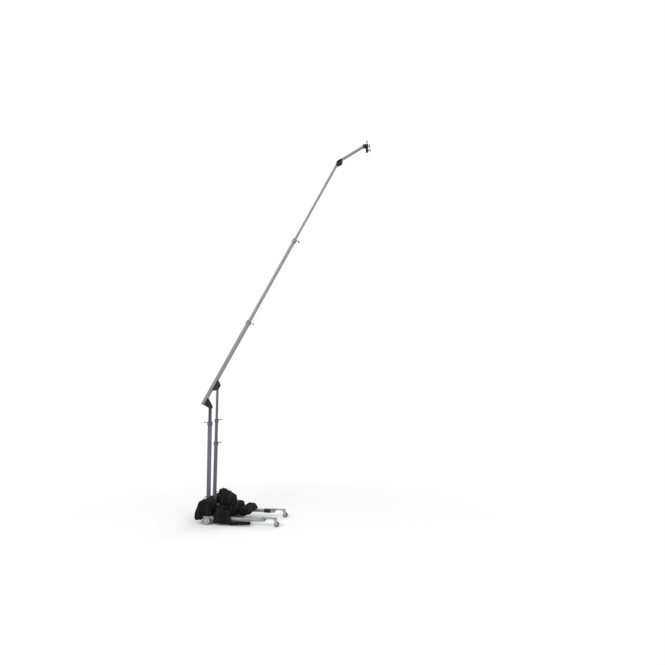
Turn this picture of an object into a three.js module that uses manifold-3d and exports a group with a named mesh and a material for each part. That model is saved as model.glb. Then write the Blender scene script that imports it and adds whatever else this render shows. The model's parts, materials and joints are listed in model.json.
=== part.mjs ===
// An overhead boom arm on a wheeled, ballasted base, as it stands with the boom raised.
// Millimetres, +Z up, +X towards the nose, -Y the near side, the floor at z = 0.
// The group's origin is the middle of the floor below the whole machine.
import * as THREE from "three";
import { mergeVertices } from "three/addons/utils/BufferGeometryUtils.js";
import Module from "manifold-3d";

const wasm = await Module();
wasm.setup();

// Clearances
const seat = 0.3; // between two pieces that are fixed together or rest on each other
const running = 0.4; // each side, between a sliding tube and the collar that guides it
const overrun = 5; // how far a cut runs past the face it opens

// Pose at rest
const boomTilt = THREE.MathUtils.degToRad(60.5); // boom above the horizontal
const noseBend = THREE.MathUtils.degToRad(32); // nose tube below the boom's own line

// Boom: three square tubes, each nested in the last for part of its length
const boomOuter = { size: 63.5, wall: 3, length: 1880 };
const boomMid = { size: 50.8, wall: 3, length: 2110, nested: 250 };
const boomTip = { size: 38.1, wall: 3, length: 1980, nested: 250 };

// Mast: an upright of two square tubes
const mastOuter = { size: 63.5, wall: 3, length: 1736 };
const mastInner = { size: 50.8, wall: 3, length: 1500, shown: 329.1 };

// Strut: three square tubes that set the boom's tilt
const strutLower = { size: 56, wall: 3, length: 1300 };
const strutMid = { size: 47, wall: 3, length: 1340, shown: 450 };
const strutUpper = { size: 38, wall: 3, length: 1350 };
const strutFootAhead = 125; // foot pivot ahead of the mast
const footPivotHeight = 235; // both foot pivots above the floor
const footPinRadius = 8;

// Gussets under the boom's rear tube, which carry the two pivots
const gusset = {
  plate: 6,
  rearPivotAlong: 32, // from the boom's rear end
  rearPivotDrop: 158, // below the boom's centre line
  rearEdge: 152, // along the boom
  rearFoot: 52, // along the lower edge
  rearDepth: 166, // down the rear edge, below the tube
  frontPivotAlong: 452,
  frontPivotDrop: 88,
  frontEdge: 230,
  frontFoot: 112,
  frontDepth: 92,
  boltRadius: 7,
};

const pivotBolt = { radius: gusset.boltRadius, headRadius: 12, headHeight: 8 };

// Collars that guide and clamp each sliding tube
const collar = { wall: 6, sleeve: 44, lip: 30, bossRadius: 13, bossHeight: 12 };
const shoeLength = 50;
const plugLength = 24; // of the boom's end cap

// T-handled clamp screws
const handle = { screw: 6, hub: 11, hubLength: 22, bar: 6, barLength: 92, reach: 34 };

// Knuckle between boom and nose
const knuckle = {
  radius: 76,
  plate: 6,
  tubeGap: 34, // from the boom tube's end to the pivot
  tail: 22, // of the nose tube behind the pivot
  heel: 90, // of the plates behind the pivot
  boltRadius: 5,
  boltHead: 9,
  boltSpacing: 28,
};

// Nose tube, its head and the receiver
const nose = { size: 38.1, wall: 3, length: 585 };
const head = {
  cheek: 7,
  pivotAhead: 20,
  blockLength: 48,
  blockWidth: 58,
  blockHeight: 52,
  stemRadius: 12,
  stemGap: 16,
  pivotRadius: 6,
  boltHead: 11,
  boltHeadHeight: 7,
};
const receiver = {
  radius: 23,
  length: 92,
  boreRadius: 14.5,
  boreDepth: 66,
  flange: 30,
  flangeHeight: 9,
  capRadius: 18,
  capHeight: 11,
};

// Base frame
const leg = { width: 50, height: 60, wall: 4, clearance: 90, length: 1345, spacing: 660, rear: -85 };
const crossTube = { size: 40, wall: 3, drain: 5 };
const crossPlaceShares = [0.04, 0.4, 0.78];
const deck = { length: 930, thickness: 6, rear: -85 };
const footPlate = { length: 262, height: 150, thickness: 8, rear: -52, flange: 28, round: 30 };
const footBolt = { radius: 8, headRadius: 13, headHeight: 8, spacing: 70 };
const legRib = 15; // of a nose plate's rib down the leg's end
const legWrap = { length: 132, thickness: 6, ahead: 1184 };

// Wheels
const rearWheel = { radius: 75, width: 42, tyre: 17, hub: 20, ahead: 150, bearing: 22 };
const rearAxle = { radius: 10, cap: 15, capLength: 6 };
const axleLug = { length: 46, thickness: 12, below: 32 };
const caster = { radius: 50, width: 32, tyre: 10, trail: 34, ahead: 1456, hub: 14, axle: 5 };
const yoke = { plate: 4, top: 62, raceRadius: 26, raceHeight: 12, stem: 7, cheekWidth: 34 };
const nosePlate = { length: 300, width: 92, thickness: 8, overlap: 70, rib: 6, ribLength: 74 };

// A wheel's section, as shares of its width or of its tyre's thickness
const wheelShares = { web: 0.17, lip: 0.6, rimEdge: 0.4, shoulder: 0.55, chamfer: 0.17 };
const casterShares = { dish: 0.3, shoulder: 0.5 };

// Sides of the round pieces
const sides = { hexagon: 6, handle: 8, screw: 12, bar: 16, bore: 24, wheel: 24, tyre: 32 };
const arcSteps = 6;

const finishes = {
  alloy: { color: 0x8b8d96, roughness: 0.4, metalness: 0.8 },
  dark: { color: 0x16161c, roughness: 0.5, metalness: 0.8 },
  zinc: { color: 0xb2b4ba, roughness: 0.35, metalness: 0.8 },
  paint: { color: 0x9a9ca3, roughness: 0.45, metalness: 0.8 },
  deck: { color: 0x0a0a0c, roughness: 0.6, metalness: 0.5 },
  rubber: { color: 0x6c6c70, roughness: 0.85, metalness: 0 },
  wrap: { color: 0x0a0a0c, roughness: 0.8, metalness: 0 },
  cloth: { color: 0x0a0a0c, roughness: 0.9, metalness: 0 },
  plastic: { color: 0x0a0a0c, roughness: 0.6, metalness: 0 },
  nylon: { color: 0xd8d8d0, roughness: 0.6, metalness: 0 },
};

// Named meshes and groups

function part(name, geometry, finish) {
  const mesh = new THREE.Mesh(geometry, new THREE.MeshStandardMaterial(finish));
  mesh.name = name;
  return mesh;
}

function group(name, children, position = [0, 0, 0], turn = 0) {
  const made = new THREE.Group();
  made.name = name;
  made.position.set(...position);
  made.rotation.y = turn;
  if (children.length) made.add(...children);
  return made;
}

// Solids

function solidOf(geometry) {
  const bare = geometry.clone();
  bare.deleteAttribute("normal");
  bare.deleteAttribute("uv");
  const merged = mergeVertices(bare, 1e-4);
  return new wasm.Manifold(
    new wasm.Mesh({
      numProp: 3,
      vertProperties: new Float32Array(merged.attributes.position.array),
      triVerts: new Uint32Array(merged.index.array),
    }),
  );
}

function geometryOf(solid) {
  const mesh = solid.getMesh();
  const geometry = new THREE.BufferGeometry();
  geometry.setAttribute("position", new THREE.BufferAttribute(mesh.vertProperties, mesh.numProp));
  geometry.setIndex(new THREE.BufferAttribute(mesh.triVerts, 1));
  const loose = geometry.toNonIndexed();
  loose.computeVertexNormals();
  return loose;
}

function joined(...geometries) {
  return geometryOf(geometries.map(solidOf).reduce((all, next) => all.add(next)));
}

function cut(geometry, ...tools) {
  return geometryOf(tools.map(solidOf).reduce((left, tool) => left.subtract(tool), solidOf(geometry)));
}

// A block from its lowest corner to its highest.
function block(low, high) {
  const size = high.map((value, i) => value - low[i]);
  return new THREE.BoxGeometry(...size).translate(...high.map((value, i) => (value + low[i]) / 2));
}

// A round bar along x, y or z that starts at a point.
function bar(radius, length, axis, start = [0, 0, 0], count = sides.bar) {
  const made = new THREE.CylinderGeometry(radius, radius, length, count).translate(0, length / 2, 0);
  if (axis === "x") made.rotateZ(-Math.PI / 2);
  if (axis === "z") made.rotateX(Math.PI / 2);
  return made.translate(...start);
}

function roundedRect(width, height, radius) {
  const x = width / 2;
  const y = height / 2;
  const shape = new THREE.Shape();
  shape.moveTo(x - radius, -y);
  shape.absarc(x - radius, radius - y, radius, -Math.PI / 2, 0);
  shape.absarc(x - radius, y - radius, radius, 0, Math.PI / 2);
  shape.absarc(radius - x, y - radius, radius, Math.PI / 2, Math.PI);
  shape.absarc(radius - x, radius - y, radius, Math.PI, (3 * Math.PI) / 2);
  return shape;
}

// A rectangular tube with rounded corners along +Z from z = 0.
function boxTube(width, height, wall, length) {
  const shape = roundedRect(width, height, wall * 1.5);
  shape.holes.push(roundedRect(width - 2 * wall, height - 2 * wall, wall / 2));
  return new THREE.ExtrudeGeometry(shape, { depth: length, bevelEnabled: false, curveSegments: 1 });
}

// A solid square bar with rounded edges along +X from x = 0.
function roundedBar(size, radius, length) {
  const settings = { depth: length, bevelEnabled: false, curveSegments: 1 };
  return alongX(new THREE.ExtrudeGeometry(roundedRect(size, size, radius), settings));
}

function squareTube({ size, wall, length }) {
  return boxTube(size, size, wall, length);
}

// Turns what was drawn along +Z to lie along +X.
function alongX(geometry) {
  return geometry.rotateY(Math.PI / 2);
}

// A plate drawn in the side view (x, z) with its thickness across y, centred at y.
function sidePlate(shape, thickness, y) {
  const settings = { depth: thickness, bevelEnabled: false, curveSegments: arcSteps };
  const made = new THREE.ExtrudeGeometry(shape, settings);
  return made.rotateX(Math.PI / 2).translate(0, y + thickness / 2, 0);
}

function outline(points) {
  return new THREE.Shape(points.map(([x, z]) => new THREE.Vector2(x, z)));
}

function hole(x, z, radius) {
  const path = new THREE.Path();
  path.absarc(x, z, radius, 0, 2 * Math.PI, true);
  return path;
}

// Pieces that repeat

// The collar is fixed over the mouth of a tube that ends at z = 0 and guides the tube inside it.
// Its clamp screw enters on the side of -X.
function collarShape(outer, inner) {
  const half = outer.size / 2 + seat + collar.wall;
  const mouth = outer.size / 2 + seat;
  const guide = inner.size / 2 + running;
  const face = -half - collar.bossHeight;
  const middle = collar.lip / 2;
  const body = block([-half, -half, -collar.sleeve], [half, half, collar.lip]);
  const boss = bar(collar.bossRadius, -face, "x", [face, 0, middle], sides.screw);
  return cut(
    joined(body, boss),
    block([-mouth, -mouth, -collar.sleeve - overrun], [mouth, mouth, seat]),
    block([-guide, -guide, -overrun], [guide, guide, collar.lip + overrun]),
    bar(handle.screw + seat, -face, "x", [face - overrun, 0, middle], sides.screw),
  );
}

// A clamp screw with a T handle; its tip is the origin and the handle lies towards +X.
function clampScrew(length) {
  const middle = length + handle.hubLength / 2;
  const bars = [
    bar(handle.screw, middle, "x", [0, 0, 0], sides.screw),
    bar(handle.hub, handle.hubLength, "x", [length, 0, 0], sides.screw),
    bar(handle.bar, handle.barLength, "y", [middle, -handle.barLength / 2, 0], sides.handle),
  ];
  return joined(...bars);
}

// The screw that fits collarShape, placed against the inner tube.
function collarScrew(name, outer, inner) {
  const length = outer.size / 2 + seat + collar.wall + collar.bossHeight + handle.reach - inner.size / 2;
  const mesh = part(name, clampScrew(length), finishes.dark);
  mesh.rotation.y = Math.PI;
  mesh.position.set(-inner.size / 2 - seat, 0, collar.lip / 2);
  return mesh;
}

function shoeShape(outer, inner) {
  const width = outer.size - 2 * outer.wall - 2 * running;
  return boxTube(width, width, (width - inner.size) / 2 - seat, shoeLength);
}

// Bolts across the part: a shank with a round-cornered hexagon at each end.
function crossBolt(x, z, grip, { radius, headRadius, headHeight }) {
  const head = (y) => bar(headRadius, headHeight, "y", [x, y, z], sides.hexagon);
  return joined(
    bar(radius, grip + headHeight, "y", [x, -(grip + headHeight) / 2, z]),
    head(-grip / 2 - headHeight),
    head(grip / 2),
  );
}

// Base frame

const legTop = leg.clearance + leg.height;
const deckTop = legTop + seat + deck.thickness;
const legY = leg.spacing / 2;

// The welded frame: two legs, the tubes that cross between them and the lugs that carry the rear axle.
function baseFrame() {
  const inside = leg.spacing - leg.width + leg.wall;
  const tubes = crossPlaceShares.map((share) => {
    const x = deck.rear + share * deck.length;
    const z = legTop - crossTube.size / 2;
    const tube = squareTube({ ...crossTube, length: inside }).rotateX(-Math.PI / 2);
    tube.translate(x, -inside / 2, z);
    return cut(tube, bar(crossTube.drain, crossTube.size, "z", [x, 0, z - crossTube.size]));
  });
  return part("base_frame", joined(...[-1, 1].flatMap(legPieces), ...tubes), finishes.paint);
}

function legPieces(side) {
  const y = side * legY;
  const tube = alongX(boxTube(leg.height, leg.width, leg.wall, leg.length));
  tube.translate(leg.rear, y, leg.clearance + leg.height / 2);
  const lugs = [-1, 1].map((end) => {
    const middle = y + (end * (leg.width - axleLug.thickness)) / 2;
    const from = middle - axleLug.thickness / 2;
    const bore = bar(rearAxle.radius + seat, axleLug.thickness + 2 * overrun, "y", [
      rearWheel.ahead,
      from - overrun,
      rearWheel.radius,
    ]);
    const lug = block(
      [rearWheel.ahead - axleLug.length / 2, from, leg.clearance - axleLug.below],
      [rearWheel.ahead + axleLug.length / 2, from + axleLug.thickness, leg.clearance + leg.wall / 2],
    );
    return cut(lug, bore);
  });
  return [tube, ...lugs];
}

function deckPlate() {
  const wide = legY + leg.width / 2;
  const plate = block([deck.rear, -wide, legTop + seat], [deck.rear + deck.length, wide, deckTop]);
  return part("deck_plate", plate, finishes.deck);
}

// A channel with two upright cheeks, which holds the mast and the strut's foot between them, and the
// heads of the strut's foot bolt.
function footBracket() {
  const inner = mastOuter.size / 2 + seat;
  const outer = inner + footPlate.thickness;
  const { length, height, rear, round } = footPlate;
  const shape = new THREE.Shape();
  shape.moveTo(rear, 0);
  shape.lineTo(rear + length, 0);
  shape.lineTo(rear + length, height - round);
  shape.absarc(rear + length - round, height - round, round, 0, Math.PI / 2);
  shape.lineTo(rear + round, height);
  shape.absarc(rear + round, height - round, round, Math.PI / 2, Math.PI);
  shape.holes.push(...mastBoltHeights().map((z) => hole(0, z, footBolt.radius + seat)));
  const cheeks = [-1, 1].map((side) =>
    sidePlate(shape, footPlate.thickness, side * (inner + footPlate.thickness / 2)),
  );
  const flange = block(
    [rear, -outer - footPlate.flange, 0],
    [rear + length, outer + footPlate.flange, footPlate.thickness],
  );
  const { headRadius, headHeight } = footBolt;
  const strutBolts = [outer, -outer - headHeight].map((y) =>
    bar(headRadius, headHeight, "y", [strutFootAhead, y, mastBoltMiddle()], sides.hexagon),
  );
  const made = joined(...cheeks, flange, ...strutBolts).translate(0, 0, deckTop + seat);
  return part("foot_bracket", made, finishes.paint);
}

// Heights above the bracket's underside
function mastBoltMiddle() {
  return footPivotHeight - deckTop - seat;
}

function mastBoltHeights() {
  return [-1, 1].map((side) => mastBoltMiddle() + (side * footBolt.spacing) / 2);
}

function mastBolts() {
  const grip = mastOuter.size + 4 * seat + 2 * footPlate.thickness;
  return mastBoltHeights().map((z, i) => {
    const bolt = crossBolt(0, z + deckTop + seat, grip, footBolt);
    return part("mast_bolt_" + (i ? "high" : "low"), bolt, finishes.zinc);
  });
}

// The plate on top of a leg's end that carries its caster, with a rib below it against the leg.
function nosePlateMesh(side) {
  const rear = leg.rear + leg.length - nosePlate.overlap;
  const front = leg.rear + leg.length + seat;
  const y = side * legY;
  const top = legTop + seat;
  const plate = block(
    [rear, y - nosePlate.width / 2, top],
    [rear + nosePlate.length, y + nosePlate.width / 2, top + nosePlate.thickness],
  );
  const shape = outline([
    [front, leg.clearance + legRib],
    [front + nosePlate.ribLength, top],
    [front + nosePlate.ribLength, top + nosePlate.thickness / 2],
    [front, top + nosePlate.thickness / 2],
  ]);
  const depth = nosePlate.thickness + 2 * overrun;
  const stemHole = bar(yoke.stem + seat, depth, "z", [caster.ahead, y, top - overrun]);
  const made = cut(joined(plate, sidePlate(shape, nosePlate.rib, y)), stemHole);
  return part("nose_plate_" + sideName(side), made, finishes.paint);
}

function sideName(side) {
  return side < 0 ? "left" : "right";
}

function legWrapMesh() {
  const around = 2 * (seat + legWrap.thickness);
  const tube = alongX(
    boxTube(leg.height + around, leg.width + around, legWrap.thickness, legWrap.length),
  );
  tube.translate(legWrap.ahead - legWrap.length, legY, leg.clearance + leg.height / 2);
  return part("leg_wrap", tube, finishes.wrap);
}

// Wheels

// A turned ring across y from its section, given as radius and y.
function turned(profile, count) {
  return new THREE.LatheGeometry(profile.map(([r, y]) => new THREE.Vector2(r, y)), count);
}

function wheelRim({ radius, width, tyre, hub }, bore) {
  const rim = radius - tyre;
  const half = width / 2;
  const web = (width * wheelShares.web) / 2;
  const edge = width * wheelShares.rimEdge;
  const inside = rim - tyre * wheelShares.lip;
  return turned(
    [
      [bore, -half],
      [hub, -half],
      [hub, -web],
      [inside, -web],
      [inside, -edge],
      [rim, -edge],
      [rim, edge],
      [inside, edge],
      [inside, web],
      [hub, web],
      [hub, half],
      [bore, half],
      [bore, -half],
    ],
    sides.wheel,
  );
}

function wheelTyre({ radius, width, tyre }) {
  const seatRadius = radius - tyre + seat / Math.cos(Math.PI / sides.tyre);
  const half = width / 2;
  const shoulder = tyre * wheelShares.shoulder;
  const chamfer = tyre * wheelShares.chamfer;
  return turned(
    [
      [seatRadius, -half],
      [radius - shoulder, -half],
      [radius - chamfer, -half + chamfer],
      [radius, -half + shoulder],
      [radius, half - shoulder],
      [radius - chamfer, half - chamfer],
      [radius - shoulder, half],
      [seatRadius, half],
      [seatRadius, -half],
    ],
    sides.tyre,
  );
}

function rearWheels() {
  const y = legY + leg.width / 2 + rearWheel.bearing + rearWheel.width / 2;
  return [-1, 1].map((side) => {
    const word = sideName(side);
    const pieces = [
      part("rear_wheel_" + word, wheelRim(rearWheel, rearAxle.radius + seat), finishes.zinc),
      part("rear_tyre_" + word, wheelTyre(rearWheel), finishes.rubber),
    ];
    return group("rear_spin_" + word, pieces, [rearWheel.ahead, side * y, rearWheel.radius]);
  });
}

// The axle with a spacer inside each wheel and a cap outside it.
function rearAxleMesh() {
  const legSide = legY + leg.width / 2 + seat;
  const wheelSide = legY + leg.width / 2 + rearWheel.bearing + rearWheel.width + seat;
  const ring = (side, from, length) =>
    bar(rearAxle.cap, length, "y", [0, side < 0 ? -from - length : from, 0]);
  const rings = [-1, 1].flatMap((side) => [
    ring(side, legSide, rearWheel.bearing - 2 * seat),
    ring(side, wheelSide, rearAxle.capLength),
  ]);
  const shaft = bar(rearAxle.radius, 2 * wheelSide, "y", [0, -wheelSide, 0]);
  const made = joined(shaft, ...rings).translate(rearWheel.ahead, 0, rearWheel.radius);
  return part("rear_axle", made, finishes.zinc);
}

// A swivel yoke with its race, stem and axle; its origin is on the swivel axis at the floor.
function casterYoke(name) {
  const inner = caster.width / 2 + 3 * seat;
  const outer = inner + yoke.plate;
  const plateTop = legTop - seat;
  const raceBase = plateTop - yoke.raceHeight;
  const cheek = (side) => {
    const shape = new THREE.Shape();
    const wide = yoke.cheekWidth / 2;
    shape.moveTo(-yoke.top / 2, raceBase);
    shape.lineTo(-yoke.top / 2, raceBase - yoke.plate);
    shape.lineTo(caster.trail - wide, caster.radius);
    shape.absarc(caster.trail, caster.radius, wide, Math.PI, 2 * Math.PI);
    shape.lineTo(yoke.top / 2, raceBase - yoke.plate);
    shape.lineTo(yoke.top / 2, raceBase);
    return sidePlate(shape, yoke.plate, side * (inner + yoke.plate / 2));
  };
  const crown = block(
    [-yoke.top / 2, -outer, raceBase - yoke.plate],
    [yoke.top / 2, outer, raceBase + seat],
  );
  const race = bar(yoke.raceRadius, yoke.raceHeight, "z", [0, 0, raceBase]);
  const stemTop = legTop + seat + nosePlate.thickness;
  const stem = bar(yoke.stem, stemTop - raceBase, "z", [0, 0, raceBase]);
  const axleEnd = outer + yoke.plate;
  const axle = bar(caster.axle, 2 * axleEnd, "y", [caster.trail, -axleEnd, caster.radius]);
  return part(name, joined(cheek(-1), cheek(1), crown, race, stem, axle), finishes.zinc);
}

// A solid caster wheel with dished sides, turned about its axle.
function casterWheel(name) {
  const half = caster.width / 2;
  const dish = caster.width * casterShares.dish;
  const round = caster.tyre * casterShares.shoulder;
  const rim = caster.radius - caster.tyre;
  const bore = caster.axle + seat;
  const shape = turned([
    [bore, -half],
    [caster.hub, -half],
    [caster.hub, -dish],
    [rim, -dish],
    [rim, -half],
    [caster.radius - round, -half],
    [caster.radius, -half + round],
    [caster.radius, half - round],
    [caster.radius - round, half],
    [rim, half],
    [rim, dish],
    [caster.hub, dish],
    [caster.hub, half],
    [bore, half],
    [bore, -half],
  ], sides.wheel);
  return part(name, shape, finishes.rubber);
}

function casters() {
  return [-1, 1].map((side) => {
    const word = sideName(side);
    const pieces = [casterWheel("caster_wheel_" + word)];
    const spin = group("caster_spin_" + word, pieces, [caster.trail, 0, caster.radius]);
    const frame = casterYoke("caster_yoke_" + word);
    return group("caster_swivel_" + word, [frame, spin], [caster.ahead, side * legY, 0]);
  });
}

// Ballast bags: plump closed pillows drawn in the side view and rounded across

function pillow(points, [low, high], round) {
  const made = new THREE.ExtrudeGeometry(outline(points), {
    depth: high - low - 2 * round,
    bevelEnabled: true,
    bevelThickness: round,
    bevelSize: round,
    bevelOffset: -round,
    bevelSegments,
  });
  return made.rotateX(Math.PI / 2).translate(0, high - round, 0);
}

function bag(name, points, range, round) {
  return part(name, joined(pillow(points, range, round)), finishes.cloth);
}

const bevelSegments = 3;
const ballast = {
  rear: {
    low: -405,
    high: -74,
    back: -118,
    front: 262,
    height: 300,
    heel: 130,
    slope: 95,
    round: 34,
    flapFront: 62,
    flapBottom: 64,
  },
  lower: { low: -300, high: 240, back: 285, front: 700, height: 190, round: 40 },
  upper: { low: -296, high: -56, back: 322, front: 636, tall: 316, short: 168, round: 34 },
  front: { low: -262, high: 240, back: 703, front: 975, height: 152, round: 40 },
  side: {
    thickness: 66,
    back: 262,
    front: 1022,
    bottom: 14,
    tall: 320,
    strip: 62,
    shoulder: 640,
    round: 22,
  },
};

function rearBag(name, side) {
  const b = ballast.rear;
  const base = deckTop + seat;
  const top = base + b.height;
  const points = [
    [b.back + b.round / 2, base],
    [b.front, base],
    [b.front - b.round, top - b.height / 3],
    [b.front - 3 * b.round, top],
    [b.back + 5 * b.round, top],
    [b.back + b.slope, top - b.round],
    [b.back + b.round, base + b.heel],
    [b.back, base + b.round],
  ];
  // The part that hangs over the deck's edge, behind the wheel
  const hang = legY + leg.width / 2 + seat;
  const flapRound = (-b.low - hang) / 2 - seat;
  const flap = [
    [b.back + flapRound, b.flapBottom],
    [b.flapFront - flapRound, b.flapBottom],
    [b.flapFront, b.flapBottom + b.round],
    [b.flapFront, base + 2 * b.round],
    [b.back + b.round, base + 2 * b.round],
    [b.back, base],
    [b.back, b.flapBottom + b.round],
  ];
  const across = (low, high) => (side < 0 ? [low, high] : [-high, -low]);
  const body = pillow(points, across(b.low, b.high), b.round);
  const made = joined(body, pillow(flap, across(b.low, -hang), flapRound));
  return part(name, made, finishes.cloth);
}

function lowerBag() {
  const b = ballast.lower;
  const base = deckTop + seat;
  const points = [
    [b.back + b.round / 2, base],
    [b.front - b.round / 2, base],
    [b.front, base + b.height / 2],
    [b.front - b.round / 2, base + b.height],
    [b.back + b.round / 2, base + b.height],
    [b.back, base + b.height / 2],
  ];
  return bag("bag_lower", points, [b.low, b.high], b.round);
}

function upperBag() {
  const b = ballast.upper;
  const base = deckTop + ballast.lower.height + 2 * seat;
  const points = [
    [b.back + b.round / 2, base],
    [b.front, base],
    [b.front + b.round / 4, base + b.short / 2],
    [b.front - b.round / 4, base + b.short],
    [b.back, base + b.tall],
  ];
  return bag("bag_upper", points, [b.low, b.high], b.round);
}

function frontBag() {
  const b = ballast.front;
  const base = deckTop + seat;
  const points = [
    [b.back + b.round / 2, base],
    [deck.rear + deck.length, base],
    [b.front, base + b.height / 4],
    [b.front - 2 * b.round, base + b.height],
    [b.back + b.round, base + b.height],
    [b.back, base + b.height / 2],
  ];
  return bag("bag_front", points, [b.low, b.high], b.round);
}

function sideBag() {
  const b = ballast.side;
  const points = [
    [b.back + b.round, b.bottom],
    [b.front, b.bottom],
    [b.front, b.bottom + b.strip],
    [b.shoulder, b.bottom + b.strip],
    [b.shoulder - 2 * b.round, b.bottom + b.tall - 2 * b.round],
    [b.back + 3 * b.round, b.bottom + b.tall],
    [b.back, b.bottom + b.tall / 2],
  ];
  const inner = legY + leg.width / 2 + seat;
  return bag("bag_side", points, [-inner - b.thickness, -inner], b.round);
}

// Mast

const mastFoot = deckTop + footPlate.thickness + 2 * seat;
const mastTop = mastFoot + mastOuter.length;
const mastPivotHeight = mastTop + mastInner.shown;

function mastParts() {
  const across = mastOuter.size + 2 * overrun;
  const holes = mastBoltHeights().map((z) =>
    bar(footBolt.radius + seat, across, "y", [0, -across / 2, z + deckTop + seat]),
  );
  const tube = cut(squareTube(mastOuter).translate(0, 0, mastFoot), ...holes);
  const outer = part("mast_outer", tube, finishes.alloy);
  const guide = part("mast_collar", collarShape(mastOuter, mastInner), finishes.dark);
  const knob = collarScrew("mast_knob", mastOuter, mastInner);
  const knobPivot = group("mast_knob_turn", [knob]);
  return [outer, group("mast_mouth", [guide, knobPivot], [0, 0, mastTop])];
}

function mastInnerMesh() {
  const top = mastPivotHeight + mastInner.size / 2;
  const tube = squareTube(mastInner).translate(0, 0, top - mastInner.length);
  const across = mastInner.size + 2 * overrun;
  const bore = bar(gusset.boltRadius + seat, across, "y", [0, -across / 2, mastPivotHeight]);
  return part("mast_inner", cut(tube, bore), finishes.alloy);
}

// Boom; its group's origin is the mast pivot, with +X along the boom

const boomLine = gusset.rearPivotDrop; // centre line above the mast pivot
const boomRear = -gusset.rearPivotAlong;
const midFront = boomRear + boomOuter.length + boomMid.length - boomMid.nested;
const knuckleAt = midFront + boomTip.length - boomTip.nested + knuckle.tubeGap;
const strutPivotLocal = new THREE.Vector2(
  boomRear + gusset.frontPivotAlong,
  boomLine - gusset.frontPivotDrop,
);

// A folded channel under the boom: a web against the tube and two cheeks that carry a pivot.
function gussetMesh(name, shape, from, to, inner) {
  const under = boomLine - boomOuter.size / 2 - seat;
  const outer = inner + gusset.plate;
  const middle = inner + gusset.plate / 2;
  const cheeks = [-1, 1].map((side) => sidePlate(shape, gusset.plate, side * middle));
  const web = block([from, -outer, under - gusset.plate], [to, outer, under]);
  return part(name, joined(...cheeks, web), finishes.dark);
}

function gussets() {
  const under = boomLine - boomOuter.size / 2 - seat;
  const rear = outline([
    [boomRear, under],
    [boomRear, under - gusset.rearDepth],
    [boomRear + gusset.rearFoot, under - gusset.rearDepth],
    [boomRear + gusset.rearEdge, under - gusset.plate],
    [boomRear + gusset.rearEdge, under],
  ]);
  rear.holes.push(hole(0, 0, gusset.boltRadius + seat));
  const { x, y } = strutPivotLocal;
  const front = outline([
    [x - gusset.frontEdge / 2, under],
    [x - gusset.frontEdge / 2, under - gusset.plate],
    [x - gusset.frontFoot / 2, under - gusset.frontDepth],
    [x + gusset.frontFoot / 2, under - gusset.frontDepth],
    [x + gusset.frontEdge / 2, under - gusset.plate],
    [x + gusset.frontEdge / 2, under],
  ]);
  front.holes.push(hole(x, y, gusset.boltRadius + seat));
  const half = gusset.frontEdge / 2;
  return [
    gussetMesh("rear_gusset", rear, boomRear, boomRear + gusset.rearEdge, mastInner.size / 2 + running),
    gussetMesh("front_gusset", front, x - half, x + half, strutUpper.size / 2 + running),
  ];
}

function pivotBolts() {
  const rear = mastInner.size + 2 * (running + gusset.plate + seat);
  const front = strutUpper.size + 2 * (running + gusset.plate + seat);
  const { x, y } = strutPivotLocal;
  return [
    part("mast_pivot_bolt", crossBolt(0, 0, rear, pivotBolt), finishes.zinc),
    part("strut_pivot_bolt", crossBolt(x, y, front, pivotBolt), finishes.zinc),
  ];
}

function boomOuterParts() {
  const tube = alongX(squareTube(boomOuter)).translate(boomRear, 0, boomLine);
  const inside = boomOuter.size / 2 - boomOuter.wall - seat;
  const half = boomOuter.size / 2;
  const cap = joined(
    block([-collar.wall, -half, -half], [-seat, half, half]),
    roundedBar(2 * inside, boomOuter.wall, plugLength).translate(-seat - overrun / 2, 0, 0),
  ).translate(boomRear, 0, boomLine);
  const mouth = group("boom_mouth_rear", [
    part("boom_collar_rear", collarShape(boomOuter, boomMid), finishes.dark),
    group("boom_knob_rear_turn", [collarScrew("boom_knob_rear", boomOuter, boomMid)]),
  ]);
  mouth.rotation.set(0, Math.PI / 2, Math.PI);
  mouth.position.set(boomRear + boomOuter.length, 0, boomLine);
  return [
    part("boom_outer", tube, finishes.alloy),
    part("boom_end_cap", cap, finishes.plastic),
    ...gussets(),
    ...pivotBolts(),
    mouth,
  ];
}

function boomMidParts() {
  const rear = midFront - boomMid.length;
  const tube = alongX(squareTube(boomMid)).translate(rear, 0, boomLine);
  const shoe = alongX(shoeShape(boomOuter, boomMid)).translate(rear, 0, boomLine);
  const mouth = group("boom_mouth_front", [
    part("boom_collar_front", collarShape(boomMid, boomTip), finishes.dark),
    group("boom_knob_front_turn", [collarScrew("boom_knob_front", boomMid, boomTip)]),
  ]);
  mouth.rotation.set(0, Math.PI / 2, Math.PI);
  mouth.position.set(midFront, 0, boomLine);
  return [
    part("boom_mid", tube, finishes.alloy),
    part("boom_mid_shoe", shoe, finishes.nylon),
    mouth,
  ];
}

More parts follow.
